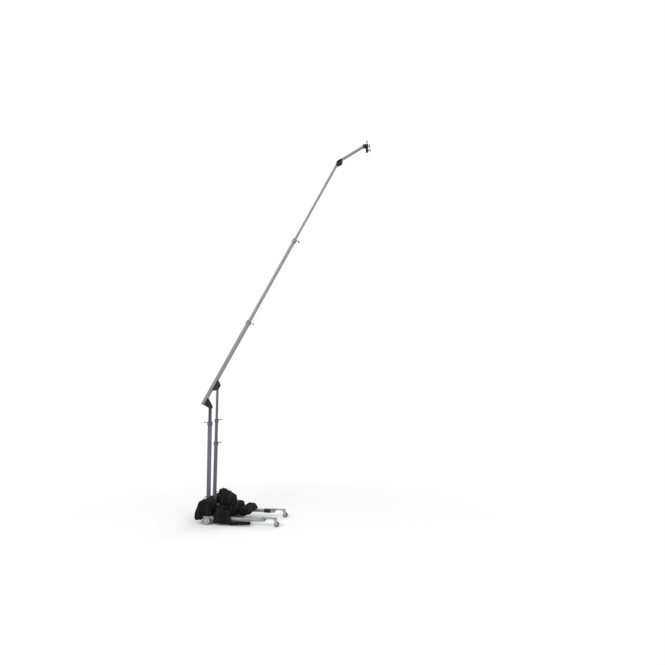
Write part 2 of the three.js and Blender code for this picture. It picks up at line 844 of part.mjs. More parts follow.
function boomTipParts() {
  const end = knuckleAt - knuckle.tubeGap;
  const tube = alongX(squareTube(boomTip)).translate(end - boomTip.length, 0, boomLine);
  const shoe = alongX(shoeShape(boomMid, boomTip)).translate(end - boomTip.length, 0, boomLine);
  const boltAt = end - knuckle.boltSpacing;
  const across = boomTip.size + 2 * overrun;
  const boltHole = bar(knuckle.boltRadius + seat, across, "y", [boltAt, -across / 2, boomLine]);
  const shape = new THREE.Shape();
  const lift = boomTip.size / 2;
  const under = -lift - seat - knuckle.plate;
  const rise = Math.asin(lift / knuckle.radius) - noseBend;
  shape.moveTo(knuckle.radius * Math.cos(rise), knuckle.radius * Math.sin(rise));
  shape.lineTo(lift * Math.tan(noseBend / 2), lift);
  shape.lineTo(-knuckle.heel, lift);
  shape.lineTo(-knuckle.heel, under);
  shape.absarc(0, 0, knuckle.radius, Math.PI - noseBend / 4, 2 * Math.PI + rise);
  shape.holes.push(hole(0, 0, handle.screw + seat));
  shape.holes.push(hole(boltAt - knuckleAt, 0, knuckle.boltRadius + seat));
  const half = boomTip.size / 2 + seat;
  const middle = half + knuckle.plate / 2;
  const cheeks = [-1, 1].map((side) => sidePlate(shape, knuckle.plate, side * middle));
  const web = block([-knuckle.heel, -middle, under], [-knuckle.tubeGap, middle, -lift - seat]);
  const bracket = joined(...cheeks, web).translate(knuckleAt, 0, boomLine);
  const grip = boomTip.size + 2 * (2 * seat + knuckle.plate);
  const size = {
    radius: knuckle.boltRadius,
    headRadius: knuckle.boltHead,
    headHeight: knuckle.boltRadius,
  };
  return [
    part("boom_tip", cut(tube, boltHole), finishes.alloy),
    part("boom_tip_shoe", shoe, finishes.nylon),
    part("knuckle_bracket", bracket, finishes.dark),
    part("knuckle_bolt", crossBolt(boltAt, boomLine, grip, size), finishes.zinc),
  ];
}

// Nose; its group's origin is the knuckle's pivot, with +X along the nose tube

function noseParts() {
  const tube = alongX(squareTube({ ...nose, length: nose.length + knuckle.tail }));
  tube.translate(-knuckle.tail, 0, 0);
  const across = nose.size + 2 * overrun;
  const start = -nose.size / 2 - overrun;
  const tipHole = bar(head.pivotRadius + seat, across, "y", [nose.length - head.pivotAhead, start, 0]);
  const tailHole = bar(handle.screw + seat, across, "y", [0, start, 0]);
  return [part("nose_tube", cut(tube, tipHole, tailHole), finishes.alloy)];
}

// The knuckle's clamp: a screw across the plates, a T handle on the near side and a nut on the far one.
function knuckleKnob() {
  const half = nose.size / 2 + seat + knuckle.plate + seat;
  const screw = clampScrew(2 * half).rotateZ(-Math.PI / 2).translate(0, half, 0);
  const nut = bar(handle.hub, handle.hub, "y", [0, half, 0], sides.hexagon);
  const made = part("knuckle_knob", joined(screw, nut), finishes.zinc);
  return group("knuckle_knob_turn", [made]);
}

// Head; its group's origin is the tilt pivot at the nose's tip and it hangs level

function headParts() {
  const inner = nose.size / 2 + running;
  const outer = inner + head.cheek;
  const front = head.pivotAhead + head.cheek;
  const half = head.blockHeight / 2;
  const cheekShape = new THREE.Shape();
  cheekShape.moveTo(front, -half);
  cheekShape.lineTo(front, half);
  cheekShape.lineTo(0, half);
  cheekShape.absarc(0, 0, half, Math.PI / 2, (3 * Math.PI) / 2);
  const middle = inner + head.cheek / 2;
  const cheeks = [-1, 1].map((side) => sidePlate(cheekShape, head.cheek, side * middle));
  const reach = Math.hypot(head.pivotAhead, nose.size / 2) + head.cheek;
  const far = reach + head.blockLength;
  const extension = [-1, 1].map((side) => {
    const a = side * inner;
    const b = side * outer;
    return block([front - overrun, Math.min(a, b), -half], [reach + overrun, Math.max(a, b), half]);
  });
  const body = block([reach, -head.blockWidth / 2, -half], [far, head.blockWidth / 2, half]);
  const stemAt = (reach + far) / 2;
  const across = 2 * outer + 2 * overrun;
  const made = cut(
    joined(...cheeks, ...extension, body),
    bar(head.pivotRadius + seat, across, "y", [0, -outer - overrun, 0]),
    bar(head.stemRadius + seat, head.blockHeight + 2 * overrun, "z", [stemAt, 0, -half - overrun]),
    bar(handle.screw + seat, head.blockLength, "x", [stemAt + head.stemRadius / 2, 0, 0]),
  );
  const boltGrip = 2 * (outer + seat);
  const boltSize = {
    radius: head.pivotRadius,
    headRadius: head.boltHead,
    headHeight: head.boltHeadHeight,
  };
  const bolt = crossBolt(0, 0, boltGrip, boltSize);
  const frontKnob = part(
    "head_knob",
    clampScrew(far - stemAt - head.stemRadius - seat + head.stemGap),
    finishes.dark,
  );
  frontKnob.position.set(stemAt + head.stemRadius + seat, 0, 0);
  return {
    stemAt,
    half,
    meshes: [
      part("head_block", made, finishes.dark),
      part("head_bolt", bolt, finishes.zinc),
      group("head_knob_turn", [frontKnob]),
    ],
  };
}

function receiverParts(half) {
  const { radius, length, boreRadius, boreDepth, flange, flangeHeight } = receiver;
  const top = -half - seat;
  const { capRadius, capHeight } = receiver;
  const stemLength = 2 * (half + seat) + length - boreDepth;
  const stem = bar(head.stemRadius, stemLength, "z", [0, 0, half + seat - stemLength], sides.bore);
  const body = bar(radius, length, "z", [0, 0, top - length], sides.bore);
  const rim = bar(flange, flangeHeight, "z", [0, 0, top - flangeHeight], sides.bore);
  const cap = bar(capRadius, capHeight, "z", [0, 0, half + seat], sides.bore);
  const bore = bar(boreRadius, boreDepth + overrun, "z", [0, 0, top - length - overrun], sides.bore);
  const screwZ = top - length + boreDepth / 2;
  const boss = bar(collar.bossRadius, radius + collar.bossHeight, "x", [0, 0, screwZ]);
  const screwHole = bar(handle.screw + seat, radius + collar.bossHeight + overrun, "x", [0, 0, screwZ]);
  const socket = cut(joined(stem, body, rim, cap, boss), bore, screwHole);
  const reach = radius + collar.bossHeight - boreRadius + head.stemGap;
  const screw = part("receiver_screw", clampScrew(reach), finishes.dark);
  screw.position.set(boreRadius - seat, 0, screwZ);
  const topKnob = part("swivel_knob", swivelKnob(), finishes.dark);
  topKnob.position.set(0, 0, half + 2 * seat + capHeight);
  return [
    part("receiver", socket, finishes.dark),
    group("receiver_screw_turn", [screw]),
    group("swivel_knob_turn", [topKnob]),
  ];
}

function swivelKnob() {
  return clampScrew(handle.reach).rotateY(-Math.PI / 2);
}

// Strut; its group's origin is the pivot under the boom, with -Z down the strut

function strutParts(length) {
  const upperEar = strutUpper.size / 2;
  const bore = (radius, size, z) =>
    bar(radius + seat, size + 2 * overrun, "y", [0, -size / 2 - overrun, z]);
  const upper = cut(
    squareTube(strutUpper).translate(0, 0, upperEar - strutUpper.length),
    bore(gusset.boltRadius, strutUpper.size, 0),
  );
  const footEnd = -length - strutLower.size / 2;
  const lowerTop = footEnd + strutLower.length;
  const lower = cut(
    squareTube(strutLower).translate(0, 0, footEnd),
    bore(footPinRadius, strutLower.size, -length),
  );
  const midTop = lowerTop + strutMid.shown;
  const mid = squareTube(strutMid).translate(0, 0, midTop - strutMid.length);
  const pinLength = strutLower.size + 2 * seat;
  const pin = bar(footPinRadius, pinLength, "y", [0, -pinLength / 2, -length]);
  const mouth = (name, outer, inner, z) => {
    const made = group(name + "_mouth", [
      part("strut_collar_" + name, collarShape(outer, inner), finishes.dark),
      group("strut_knob_" + name + "_turn", [collarScrew("strut_knob_" + name, outer, inner)]),
    ]);
    made.rotation.z = Math.PI;
    made.position.set(0, 0, z);
    return made;
  };
  return [
    part("strut_upper", upper, finishes.alloy),
    part("strut_mid", mid, finishes.alloy),
    part("strut_lower", lower, finishes.alloy),
    part("strut_foot_pin", pin, finishes.zinc),
    mouth("upper", strutMid, strutUpper, midTop),
    mouth("lower", strutLower, strutMid, lowerTop),
  ];
}

// Assembly

function machine() {
  const base = group("base", [
    baseFrame(),
    deckPlate(),
    footBracket(),
    ...mastBolts(),
    nosePlateMesh(-1),
    nosePlateMesh(1),
    legWrapMesh(),
    rearAxleMesh(),
    ...rearWheels(),
    ...casters(),
    rearBag("bag_rear_left", -1),
    rearBag("bag_rear_right", 1),
    lowerBag(),
    upperBag(),
    frontBag(),
    sideBag(),
    ...mastParts(),
    mastInnerMesh(),
  ]);

  const { stemAt, half, meshes } = headParts();
  const swivel = group("receiver_pan", receiverParts(half), [stemAt, 0, 0]);
  const headGroup = group(
    "head_tilt",
    [...meshes, swivel],
    [nose.length - head.pivotAhead, 0, 0],
    boomTilt - noseBend,
  );
  const noseGroup = group(
    "nose_bend",
    [...noseParts(), knuckleKnob(), headGroup],
    [knuckleAt, 0, boomLine],
    noseBend,
  );
  const boom = group(
    "arm_tilt",
    [...boomOuterParts(), ...boomMidParts(), ...boomTipParts(), noseGroup],
    [0, 0, mastPivotHeight],
    -boomTilt,
  );

  const pivot = strutPivotLocal.clone().rotateAround(new THREE.Vector2(), boomTilt);
  const ahead = pivot.x - strutFootAhead;
  const rise = mastPivotHeight + pivot.y - footPivotHeight;
  const strut = group(
    "strut_swing",
    strutParts(Math.hypot(ahead, rise)),
    [pivot.x, 0, mastPivotHeight + pivot.y],
    Math.atan2(ahead, rise),
  );

  const all = group("overhead_boom_arm", [base, boom, strut]);
  all.updateMatrixWorld(true);
  const box = new THREE.Box3().setFromObject(all, true);
  all.position.set(-(box.min.x + box.max.x) / 2, -(box.min.y + box.max.y) / 2, 0);
  return all;
}

export default machine();
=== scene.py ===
"""The looks of an overhead boom arm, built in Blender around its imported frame."""

import json
import logging
import math
from dataclasses import dataclass, field, replace
from enum import Enum
from typing import Callable, Iterable, Sequence

import bmesh
import bpy
from mathutils import Matrix, Vector, noise
from mathutils.bvhtree import BVHTree


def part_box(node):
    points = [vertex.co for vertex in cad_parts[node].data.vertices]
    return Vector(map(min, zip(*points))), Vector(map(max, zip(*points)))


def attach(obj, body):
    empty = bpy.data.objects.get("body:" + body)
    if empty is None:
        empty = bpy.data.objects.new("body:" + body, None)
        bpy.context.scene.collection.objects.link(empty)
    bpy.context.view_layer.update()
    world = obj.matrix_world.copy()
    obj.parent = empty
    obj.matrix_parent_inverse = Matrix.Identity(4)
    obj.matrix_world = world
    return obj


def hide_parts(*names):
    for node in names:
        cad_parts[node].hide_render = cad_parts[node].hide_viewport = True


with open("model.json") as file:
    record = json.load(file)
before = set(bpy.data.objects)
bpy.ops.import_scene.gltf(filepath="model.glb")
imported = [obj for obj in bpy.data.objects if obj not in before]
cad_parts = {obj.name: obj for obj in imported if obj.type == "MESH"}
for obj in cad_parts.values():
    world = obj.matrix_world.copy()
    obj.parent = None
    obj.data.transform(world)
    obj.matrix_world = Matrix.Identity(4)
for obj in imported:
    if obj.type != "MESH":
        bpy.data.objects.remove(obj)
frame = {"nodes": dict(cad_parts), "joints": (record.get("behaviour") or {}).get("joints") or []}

log = logging.getLogger("boom_arm")

MM = 0.001
LEVEL = Vector((1, 0, 0))
ACROSS = Vector((0, 1, 0))
UP = Vector((0, 0, 1))
SIDES = ((-1, "near"), (1, "far"))
DUST = (0.46, 0.44, 0.41)
WHITE = (1.0, 1.0, 1.0, 1.0)
CLOTH_STEPS = 20
TUBE_STRETCH = (0.02, 1.0, 1.0)

Points = Sequence[Sequence[float]]
Mesh = bpy.types.Mesh
Node = bpy.types.Node
Outputs = bpy.types.NodeOutputs
Socket = bpy.types.NodeSocket
Solid = bmesh.types.BMesh
Tree = bpy.types.NodeTree


# Node trees


class NodeSheet:
    """Adds nodes to one tree and links them."""

    def __init__(self, tree: Tree) -> None:
        """Keeps the tree that the nodes go into."""
        self.tree = tree

    def add(self, kind: str, values: dict | None = None, **settings) -> Node:
        """Adds one node.

        Args:
            kind: The node's type name.
            values: A number, colour or another node's socket for each input, by its name or number.
            settings: The node's own properties.

        Returns:
            The new node.
        """
        node = self.tree.nodes.new(kind)
        for name, value in settings.items():
            setattr(node, name, value)
        for key, value in (values or {}).items():
            socket = node.inputs[key]
            if isinstance(value, Socket):
                self.tree.links.new(value, socket)
            else:
                socket.default_value = value
        return node

    def out(self, kind: str, values: dict | None = None, **settings) -> Socket:
        """Adds one node and gives its first output."""
        return self.add(kind, values, **settings).outputs[0]

    def math(self, operation: str, *values: float | Socket) -> Socket:
        """Adds a Math node with its inputs in order and gives its output."""
        return self.out("ShaderNodeMath", dict(enumerate(values)), operation=operation)

    def spread(
        self, value: Socket, start: float, end: float, low: float = 0, high: float = 1
    ) -> Socket:
        """Maps a value from start and end to low and high, and clamps it."""
        return self.out("ShaderNodeMapRange", {0: value, 1: start, 2: end, 3: low, 4: high})

    def blend(self, share: float | Socket, first: object, second: object) -> Socket:
        """Mixes two colours or colour sockets by the share of the second one."""
        node = self.add("ShaderNodeMix", {0: share, 6: first, 7: second}, data_type="RGBA")
        return node.outputs[2]

    def noise(self, vector: Socket, scale: float | Socket, detail: float) -> Socket:
        """Adds a noise texture and gives its value."""
        values = {"Vector": vector, "Scale": scale, "Detail": detail}
        return self.out("ShaderNodeTexNoise", values)

    def group(self, tree: Tree, values: dict[str, object]) -> Outputs:
        """Adds a shared effect and gives its outputs."""
        return self.add("ShaderNodeGroup", values, node_tree=tree).outputs


def blank(owner: bpy.types.Material | bpy.types.World) -> NodeSheet:
    """Empties a material's or the world's own tree.

    Args:
        owner: The material or the world.

    Returns:
        Its tree's sheet.
    """
    owner.use_nodes = True
    owner.node_tree.nodes.clear()
    return NodeSheet(owner.node_tree)


def add_socket(tree: Tree, name: str, kind: str, way: str = "INPUT") -> object:
    """Gives a group an input or an output of a kind, such as Float."""
    return tree.interface.new_socket(name=name, in_out=way, socket_type=f"NodeSocket{kind}")


def rgba(color: Sequence[float]) -> tuple[float, float, float, float]:
    """Gives a colour its alpha."""
    return (*color, 1.0)


class Effects:
    """Shader groups that several finishes share, each built once."""

    def __init__(self) -> None:
        """Builds every group."""
        self.edge_wear = self._edge_wear()
        self.grain = self._grain()
        self.dust = self._dust()
        self.scratches = self._scratches()
        self.weave = self._weave()

    @staticmethod
    def _open(name: str, inputs: dict[str, float | tuple]) -> tuple[NodeSheet, Outputs]:
        """Starts a group.

        Args:
            name: The group's name.
            inputs: Each input's default after the vector, a number or a vector.

        Returns:
            The group's sheet and the sockets of its inputs.
        """
        tree = bpy.data.node_groups.new(name, "ShaderNodeTree")
        for label, default in {"Vector": (0.0, 0.0, 0.0), **inputs}.items():
            kind = "Vector" if isinstance(default, tuple) else "Float"
            add_socket(tree, label, kind).default_value = default
        sheet = NodeSheet(tree)
        return sheet, sheet.add("NodeGroupInput").outputs

    @staticmethod
    def _close(sheet: NodeSheet, results: dict[str, Socket]) -> Tree:
        """Ends a group with its named values.

        Args:
            sheet: The group's sheet.
            results: The socket behind each named output.

        Returns:
            The group's tree.
        """
        for label in results:
            add_socket(sheet.tree, label, "Float", "OUTPUT")
        sheet.add("NodeGroupOutput", results)
        return sheet.tree

    def _edge_wear(self) -> Tree:
        """Bare, rubbed edges, broken up by noise.

        Returns:
            The group.
        """
        sheet, given = self._open("Edge wear", {"Amount": 0.5, "Scale": 60.0})
        eased = sheet.out("ShaderNodeBevel", {"Radius": 2.5 * MM}, samples=4)
        flat = sheet.add("ShaderNodeNewGeometry").outputs["True Normal"]
        turned = sheet.add("ShaderNodeVectorMath", {0: eased, 1: flat}, operation="DOT_PRODUCT")
        edge = sheet.spread(turned.outputs["Value"], 0.995, 0.86)
        rough = sheet.spread(sheet.noise(given["Vector"], given["Scale"], 4.0), 0.42, 0.62)
        worn = sheet.math("MULTIPLY", edge, rough)
        return self._close(sheet, {"Mask": sheet.math("MULTIPLY", worn, given["Amount"])})

    def _grain(self) -> Tree:
        """Noise drawn out along one direction.

        Returns:
            The group.
        """
        sheet, given = self._open("Drawn grain", {"Stretch": (1.0, 1.0, 1.0), "Scale": 900.0})
        values = {0: given["Vector"], 1: given["Stretch"]}
        long = sheet.out("ShaderNodeVectorMath", values, operation="MULTIPLY")
        return self._close(sheet, {"Value": sheet.noise(long, given["Scale"], 3.0)})

    def _dust(self) -> Tree:
        """Pale dust that settles on faces that look up.

        Returns:
            The group.
        """
        sheet, given = self._open("Settled dust", {"Amount": 0.3, "Scale": 9.0})
        normal = sheet.add("ShaderNodeNewGeometry").outputs["Normal"]
        lift = sheet.add("ShaderNodeSeparateXYZ", {0: normal}).outputs[2]
        patch = sheet.spread(sheet.noise(given["Vector"], given["Scale"], 6.0), 0.35, 0.7)
        facing = sheet.spread(lift, -0.1, 0.95, 0.12, 1)
        laid = sheet.math("MULTIPLY", patch, facing)
        return self._close(sheet, {"Mask": sheet.math("MULTIPLY", laid, given["Amount"])})

    def _scratches(self) -> Tree:
        """Fine, sparse scuff lines, drawn out along the piece.

        Returns:
            The group.
        """
        sheet, given = self._open("Scuff lines", {"Scale": 14.0, "Amount": 0.5})
        values = {0: given["Vector"], 1: (0.16, 1.0, 0.8)}
        moved = sheet.out("ShaderNodeVectorMath", values, operation="MULTIPLY")
        values = {"Vector": moved, "Scale": given["Scale"]}
        cells = sheet.add("ShaderNodeTexVoronoi", values, feature="DISTANCE_TO_EDGE")
        line = sheet.spread(cells.outputs["Distance"], 0.0, 0.012, 1, 0)
        gate = sheet.spread(sheet.noise(given["Vector"], 19.0, 2.0), 0.54, 0.66)
        here = sheet.math("MULTIPLY", line, gate)
        return self._close(sheet, {"Mask": sheet.math("MULTIPLY", here, given["Amount"])})

    def _weave(self) -> Tree:
        """A plain weave: threads that pass over and under along all three axes.

        Returns:
            The group.
        """
        sheet, given = self._open("Plain weave", {"Thread": 0.0012})
        turn = sheet.math("DIVIDE", math.pi, given["Thread"])
        parts = sheet.add("ShaderNodeSeparateXYZ", {0: given["Vector"]}).outputs
        waves = [sheet.math("SINE", sheet.math("MULTIPLY", axis, turn)) for axis in parts]
        pairs = [sheet.math("MULTIPLY", waves[i], waves[i - 1]) for i in range(3)]
        total = sheet.math("ADD", sheet.math("ADD", pairs[0], pairs[1]), pairs[2])
        height = sheet.spread(total, -1.0, 1.0)
        return self._close(
            sheet, {"Height": height, "Tint": sheet.noise(given["Vector"], 22.0, 5.0)}
        )


effects = Effects()


class Slot(Enum):
    """The record's material slots."""

    BOOM_ALLOY = "boom_alloy"
    FRAME_PAINT = "frame_paint"
    BLACK_STEEL = "black_steel"
    DECK_BLACK = "deck_black"
    ZINC = "zinc_steel"
    WHEEL_ALLOY = "wheel_alloy"
    LIGHT_RUBBER = "light_rubber"
    BLACK_RUBBER = "black_rubber"
    BLACK_PLASTIC = "black_plastic"
    NYLON = "guide_nylon"
    CLOTH = "ballast_cloth"


@dataclass(frozen=True)
class Finish:
    """A surface of one kind.

    Its base colour is mixed with a second tone by blotches, worn on edges, scuffed and dusted.
    """

    name: str
    slot: Slot
    color: tuple[float, float, float]
    tone: tuple[float, float, float]
    roughness: float = 0.5
    metallic: float = 0.0
    bare: tuple[float, float, float] = (0.5, 0.5, 0.52)
    wear: float = 0.0
    scuff: float = 0.0
    dust: float = 0.1
    bump: float = 0.05
    grain: float = 900.0
    stretch: tuple[float, float, float] = (1.0, 1.0, 1.0)
    turn: float = 0.0
    grain_share: float = 0.2
    blotch: float = 6.0
    specular: float = 0.5
    ior: float = 1.5

    def material(self) -> bpy.types.Material:
        """Builds the material the first time and finds it again after that."""
        found = bpy.data.materials.get(self.name)
        return found or self._built()

    def _built(self) -> bpy.types.Material:
        """Builds the node tree of the material.

        Returns:
            The new material.
        """
        made = bpy.data.materials.new(self.name)
        sheet = blank(made)
        place = sheet.add("ShaderNodeTexCoord").outputs["Object"]
        values = {"Vector": place, "Rotation": (0.0, self.turn, 0.0)}
        along = sheet.out("ShaderNodeMapping", values)
        tint, height = self._surface(sheet, place, along)
        wear = sheet.group(effects.edge_wear, {"Vector": place, "Amount": self.wear})[0]
        scuff = sheet.group(effects.scratches, {"Vector": along, "Amount": self.scuff})[0]
        dust = sheet.group(effects.dust, {"Vector": place, "Amount": self.dust})[0]
        color = sheet.blend(sheet.spread(tint, 0.35, 0.65), rgba(self.color), rgba(self.tone))
        color = sheet.blend(sheet.math("MAXIMUM", wear, scuff), color, rgba(self.bare))
        color = sheet.blend(dust, color, rgba(DUST))
        uneven = sheet.spread(tint, 0.3, 0.7, self.roughness - 0.06, self.roughness + 0.08)
        rough = sheet.math("ADD", uneven, sheet.math("MULTIPLY", dust, 0.3))
        values = {"Strength": self.bump, "Distance": 0.6 * MM, "Height": height}
        relief = sheet.out("ShaderNodeBump", values)
        values = {
            "Base Color": color, "Roughness": rough, "Metallic": self.metallic, "Normal": relief,
            "Specular IOR Level": self.specular, "IOR": self.ior
        }
        shader = sheet.out("ShaderNodeBsdfPrincipled", values)
        sheet.add("ShaderNodeOutputMaterial", {"Surface": shader})
        return made

    def _surface(self, sheet: NodeSheet, place: Socket, along: Socket) -> tuple[Socket, Socket]:
        """The blotches and the fine relief.

        Args:
            sheet: The material's sheet.
            place: Object coordinates.
            along: The same, turned to lie along the piece.

        Returns:
            The tint and the height.
        """
        blotch = sheet.noise(place, self.blotch, 5.0)
        values = {"Vector": along, "Stretch": self.stretch, "Scale": self.grain}
        grain = sheet.group(effects.grain, values)[0]
        tint = sheet.math(
            "ADD", sheet.math("MULTIPLY", blotch, 1 - self.grain_share),
            sheet.math("MULTIPLY", grain, self.grain_share)
        )
        return tint, grain


@dataclass(frozen=True)
class ClothFinish(Finish):
    """Woven cloth: the relief is a weave and the tint its uneven dye."""

    thread: float = 1.3 * MM

    def _surface(self, sheet: NodeSheet, place: Socket, along: Socket) -> tuple[Socket, Socket]:
        """The uneven dye as the tint and the weave as the height."""
        weave = sheet.group(effects.weave, {"Vector": along, "Thread": self.thread})
        return weave["Tint"], weave["Height"]


class Alloy(Enum):
    """The tubes' colours: the main one and the second one of the blotches."""

    MAST = ((0.095, 0.101, 0.125), (0.128, 0.134, 0.158))
    MAST_CORE = ((0.04, 0.042, 0.056), (0.06, 0.062, 0.078))
    BOOM = ((0.17, 0.172, 0.19), (0.212, 0.214, 0.232))
    STRUT = ((0.068, 0.067, 0.085), (0.095, 0.093, 0.112))


def alloy(name: str, turn: float, tones: Alloy) -> Finish:
    """Gives satin aluminium, drawn along a piece.

    Args:
        name: The material's name.
        turn: The piece's slope about Y, in radians.
        tones: Its colours.

    Returns:
        The finish.
    """
    return Finish(
        name, Slot.BOOM_ALLOY, *tones.value, roughness=0.46, metallic=0.3, bare=(0.34, 0.34, 0.37),
        wear=0.6, scuff=0.3, dust=0.08, bump=0.12, stretch=TUBE_STRETCH, grain_share=0.45,
        turn=turn, specular=0.35
    )


class Finishes:
    """Every finish of the machine."""

    paint = Finish(
        "grey_frame_paint", Slot.FRAME_PAINT, (0.25, 0.255, 0.275), (0.33, 0.335, 0.355),
        metallic=0.25, bare=(0.09, 0.085, 0.085), wear=0.9, scuff=0.5, dust=0.35, bump=0.12,
        grain=260.0
    )
    plate_steel = Finish(
        "bare_plate_steel", Slot.BLACK_STEEL, (0.17, 0.172, 0.18), (0.26, 0.262, 0.27),
        metallic=0.4, bare=(0.4, 0.4, 0.41), wear=0.5, scuff=0.4, dust=0.15, bump=0.15, grain=420.0,
        specular=0.35
    )
    black_steel = Finish(
        "black_powder_coat", Slot.BLACK_STEEL, (0.006, 0.006, 0.01), (0.012, 0.012, 0.018),
        roughness=0.55, bare=(0.14, 0.14, 0.15), wear=0.5, scuff=0.15, dust=0.03, bump=0.2,
        grain=700.0, specular=0.22
    )
    deck = Finish(
        "black_deck_paint", Slot.DECK_BLACK, (0.01, 0.01, 0.011), (0.024, 0.024, 0.025),
        roughness=0.62, bare=(0.16, 0.16, 0.16), wear=0.6, scuff=0.5, bump=0.3, grain=180.0,
        specular=0.3
    )
    zinc = Finish(
        "plated_steel", Slot.ZINC, (0.38, 0.385, 0.4), (0.5, 0.5, 0.51), roughness=0.34,
        metallic=0.9, bare=(0.62, 0.62, 0.63), wear=0.4, dust=0.15, bump=0.08, blotch=24.0
    )
    dark_bolt = Finish(
        "oiled_bolt_steel", Slot.ZINC, (0.05, 0.05, 0.055), (0.08, 0.08, 0.085), roughness=0.42,
        metallic=0.5, bare=(0.2, 0.2, 0.2), wear=0.4, dust=0.06, bump=0.08, specular=0.35
    )
    grey_collar = Finish(
        "grey_collar_steel", Slot.BLACK_STEEL, (0.125, 0.127, 0.142), (0.165, 0.167, 0.182),
        metallic=0.3, bare=(0.34, 0.34, 0.37), wear=0.6, scuff=0.3, dust=0.08, bump=0.15,
        grain=420.0, specular=0.35
    )
    dark_collar = replace(
        grey_collar, name="dark_collar_steel", color=(0.055, 0.056, 0.068),
        tone=(0.08, 0.081, 0.095), bare=(0.26, 0.26, 0.28)
    )
    wheel_alloy = Finish(
        "cast_wheel_alloy", Slot.WHEEL_ALLOY, (0.36, 0.36, 0.38), (0.45, 0.45, 0.47),
        roughness=0.45, metallic=0.7, bare=(0.6, 0.6, 0.6), wear=0.5, dust=0.35, bump=0.15,
        grain=420.0
    )
    caster_centre = Finish(
        "caster_centre_grey", Slot.WHEEL_ALLOY, (0.15, 0.15, 0.16), (0.2, 0.2, 0.21), metallic=0.3,
        bare=(0.3, 0.3, 0.3), wear=0.4, dust=0.2, bump=0.15, grain=420.0, specular=0.35
    )
    caster_tread = Finish(
        "dark_caster_rubber", Slot.LIGHT_RUBBER, (0.075, 0.075, 0.08), (0.11, 0.11, 0.115),
        roughness=0.75, dust=0.25, bump=0.25, grain=240.0, specular=0.3
    )
    tyre = Finish(
        "grey_tyre_rubber", Slot.LIGHT_RUBBER, (0.155, 0.155, 0.16), (0.22, 0.215, 0.215),
        roughness=0.78, dust=0.5, bump=0.3, grain=240.0
    )
    # Painted shade: the black rubber sleeve on the far leg stands for the shade on that leg's inner
    # side; the near leg has none.
    shade_sleeve = Finish(
        "far_leg_painted_shade_rubber", Slot.BLACK_RUBBER, (0.008, 0.008, 0.009), (0.016, 0.016, 0.016),
        roughness=0.7, bump=0.35, grain=300.0, specular=0.25
    )
    plastic = Finish(
        "black_moulded_plastic", Slot.BLACK_PLASTIC, (0.012, 0.012, 0.014), (0.02, 0.02, 0.022),
        dust=0.08, bump=0.25, grain=520.0, specular=0.35
    )
    nylon = Finish("ivory_nylon", Slot.NYLON, (0.66, 0.65, 0.6), (0.58, 0.57, 0.52), bump=0.1)
    cloth = ClothFinish(
        "bag_canvas", Slot.CLOTH, (0.0026, 0.0026, 0.0031), (0.006, 0.006, 0.007), roughness=0.85,
        dust=0.01, bump=0.55, ior=1.22
    )
    webbing = ClothFinish(
        "black_webbing", Slot.CLOTH, (0.006, 0.006, 0.007), (0.013, 0.013, 0.014), roughness=0.72,
        dust=0.02, bump=0.9, thread=2.4 * MM, ior=1.2
    )
    thread = ClothFinish(
        "grey_thread", Slot.CLOTH, (0.03, 0.03, 0.033), (0.045, 0.045, 0.048), roughness=0.75,
        dust=0.02, bump=0.4, thread=0.5 * MM, ior=1.25
    )


# Places


@dataclass(frozen=True)
class Place:
    """An origin and the directions of a piece's own x and y axes."""

    origin: Vector
    x: Vector = field(default_factory=LEVEL.copy)
    y: Vector = field(default_factory=ACROSS.copy)

    def matrix(self) -> Matrix:
        """The matrix from the piece's own axes to the row frame."""
        x, y = self.x.normalized(), self.y.normalized()
        return Matrix.Translation(self.origin) @ Matrix((x, y, x.cross(y))).transposed().to_4x4()

    def at(self, x: float = 0, y: float = 0, z: float = 0) -> Vector:
        """A point of the row frame from the piece's own coordinates."""
        return self.matrix() @ Vector((x, y, z))

    def moved(self, x: float = 0, y: float = 0, z: float = 0) -> "Place":
        """The same directions from another origin."""
        return Place(self.at(x, y, z), self.x, self.y)


class Skeleton:
    """Where the machine's joints are, read from the frame."""

    def __init__(self) -> None:
        """Finds each place from the joints' pivots and axes."""
        self.joints = {joint["name"]: joint for joint in frame["joints"]}
        self.boom_line = self.axis("boom_mid_slide")
        self.mast = Place(self.pivot("arm_tilt"), UP)
        self.boom = Place(self.pivot("arm_tilt"), self.boom_line)
        nose = self.pivot("head_tilt") - self.pivot("nose_bend")
        self.nose = Place(self.pivot("nose_bend"), nose)
        self.receiver = Place(self.pivot("receiver_pan"), UP)
        self.strut = Place(self.pivot("strut_swing"), -self.axis("strut_reach"))

    def pivot(self, joint: str) -> Vector:
        """A hinge's pivot at rest."""
        return Vector(self.joints[joint]["pos_m"])

    def axis(self, joint: str) -> Vector:
        """A joint's axis at rest."""
        return Vector(self.joints[joint]["axis"])


skeleton = Skeleton()


# Meshes


def bare_mesh(node: str) -> Solid:
    """Copies a CAD node's solid with its shared corners merged and its flat faces whole.

    Args:
        node: The CAD node's name.

    Returns:
        The copy.
    """
    source = frame["nodes"][node].data
    form = bmesh.new()
    corners = [form.verts.new(vertex.co) for vertex in source.vertices]
    for polygon in source.polygons:
        form.faces.new([corners[i] for i in polygon.vertices])
    bmesh.ops.remove_doubles(form, verts=form.verts, dist=0.01 * MM)
    bmesh.ops.dissolve_limit(
        form, angle_limit=math.radians(0.6), verts=form.verts, edges=form.edges
    )
    return form


def to_mesh(form: Solid, name: str) -> Mesh:
    """Turns a form into a mesh and frees it.

    Args:
        form: The form.
        name: The mesh's name.

    Returns:
        The mesh.
    """
    mesh = bpy.data.meshes.new(name)
    form.to_mesh(mesh)
    form.free()
    return mesh


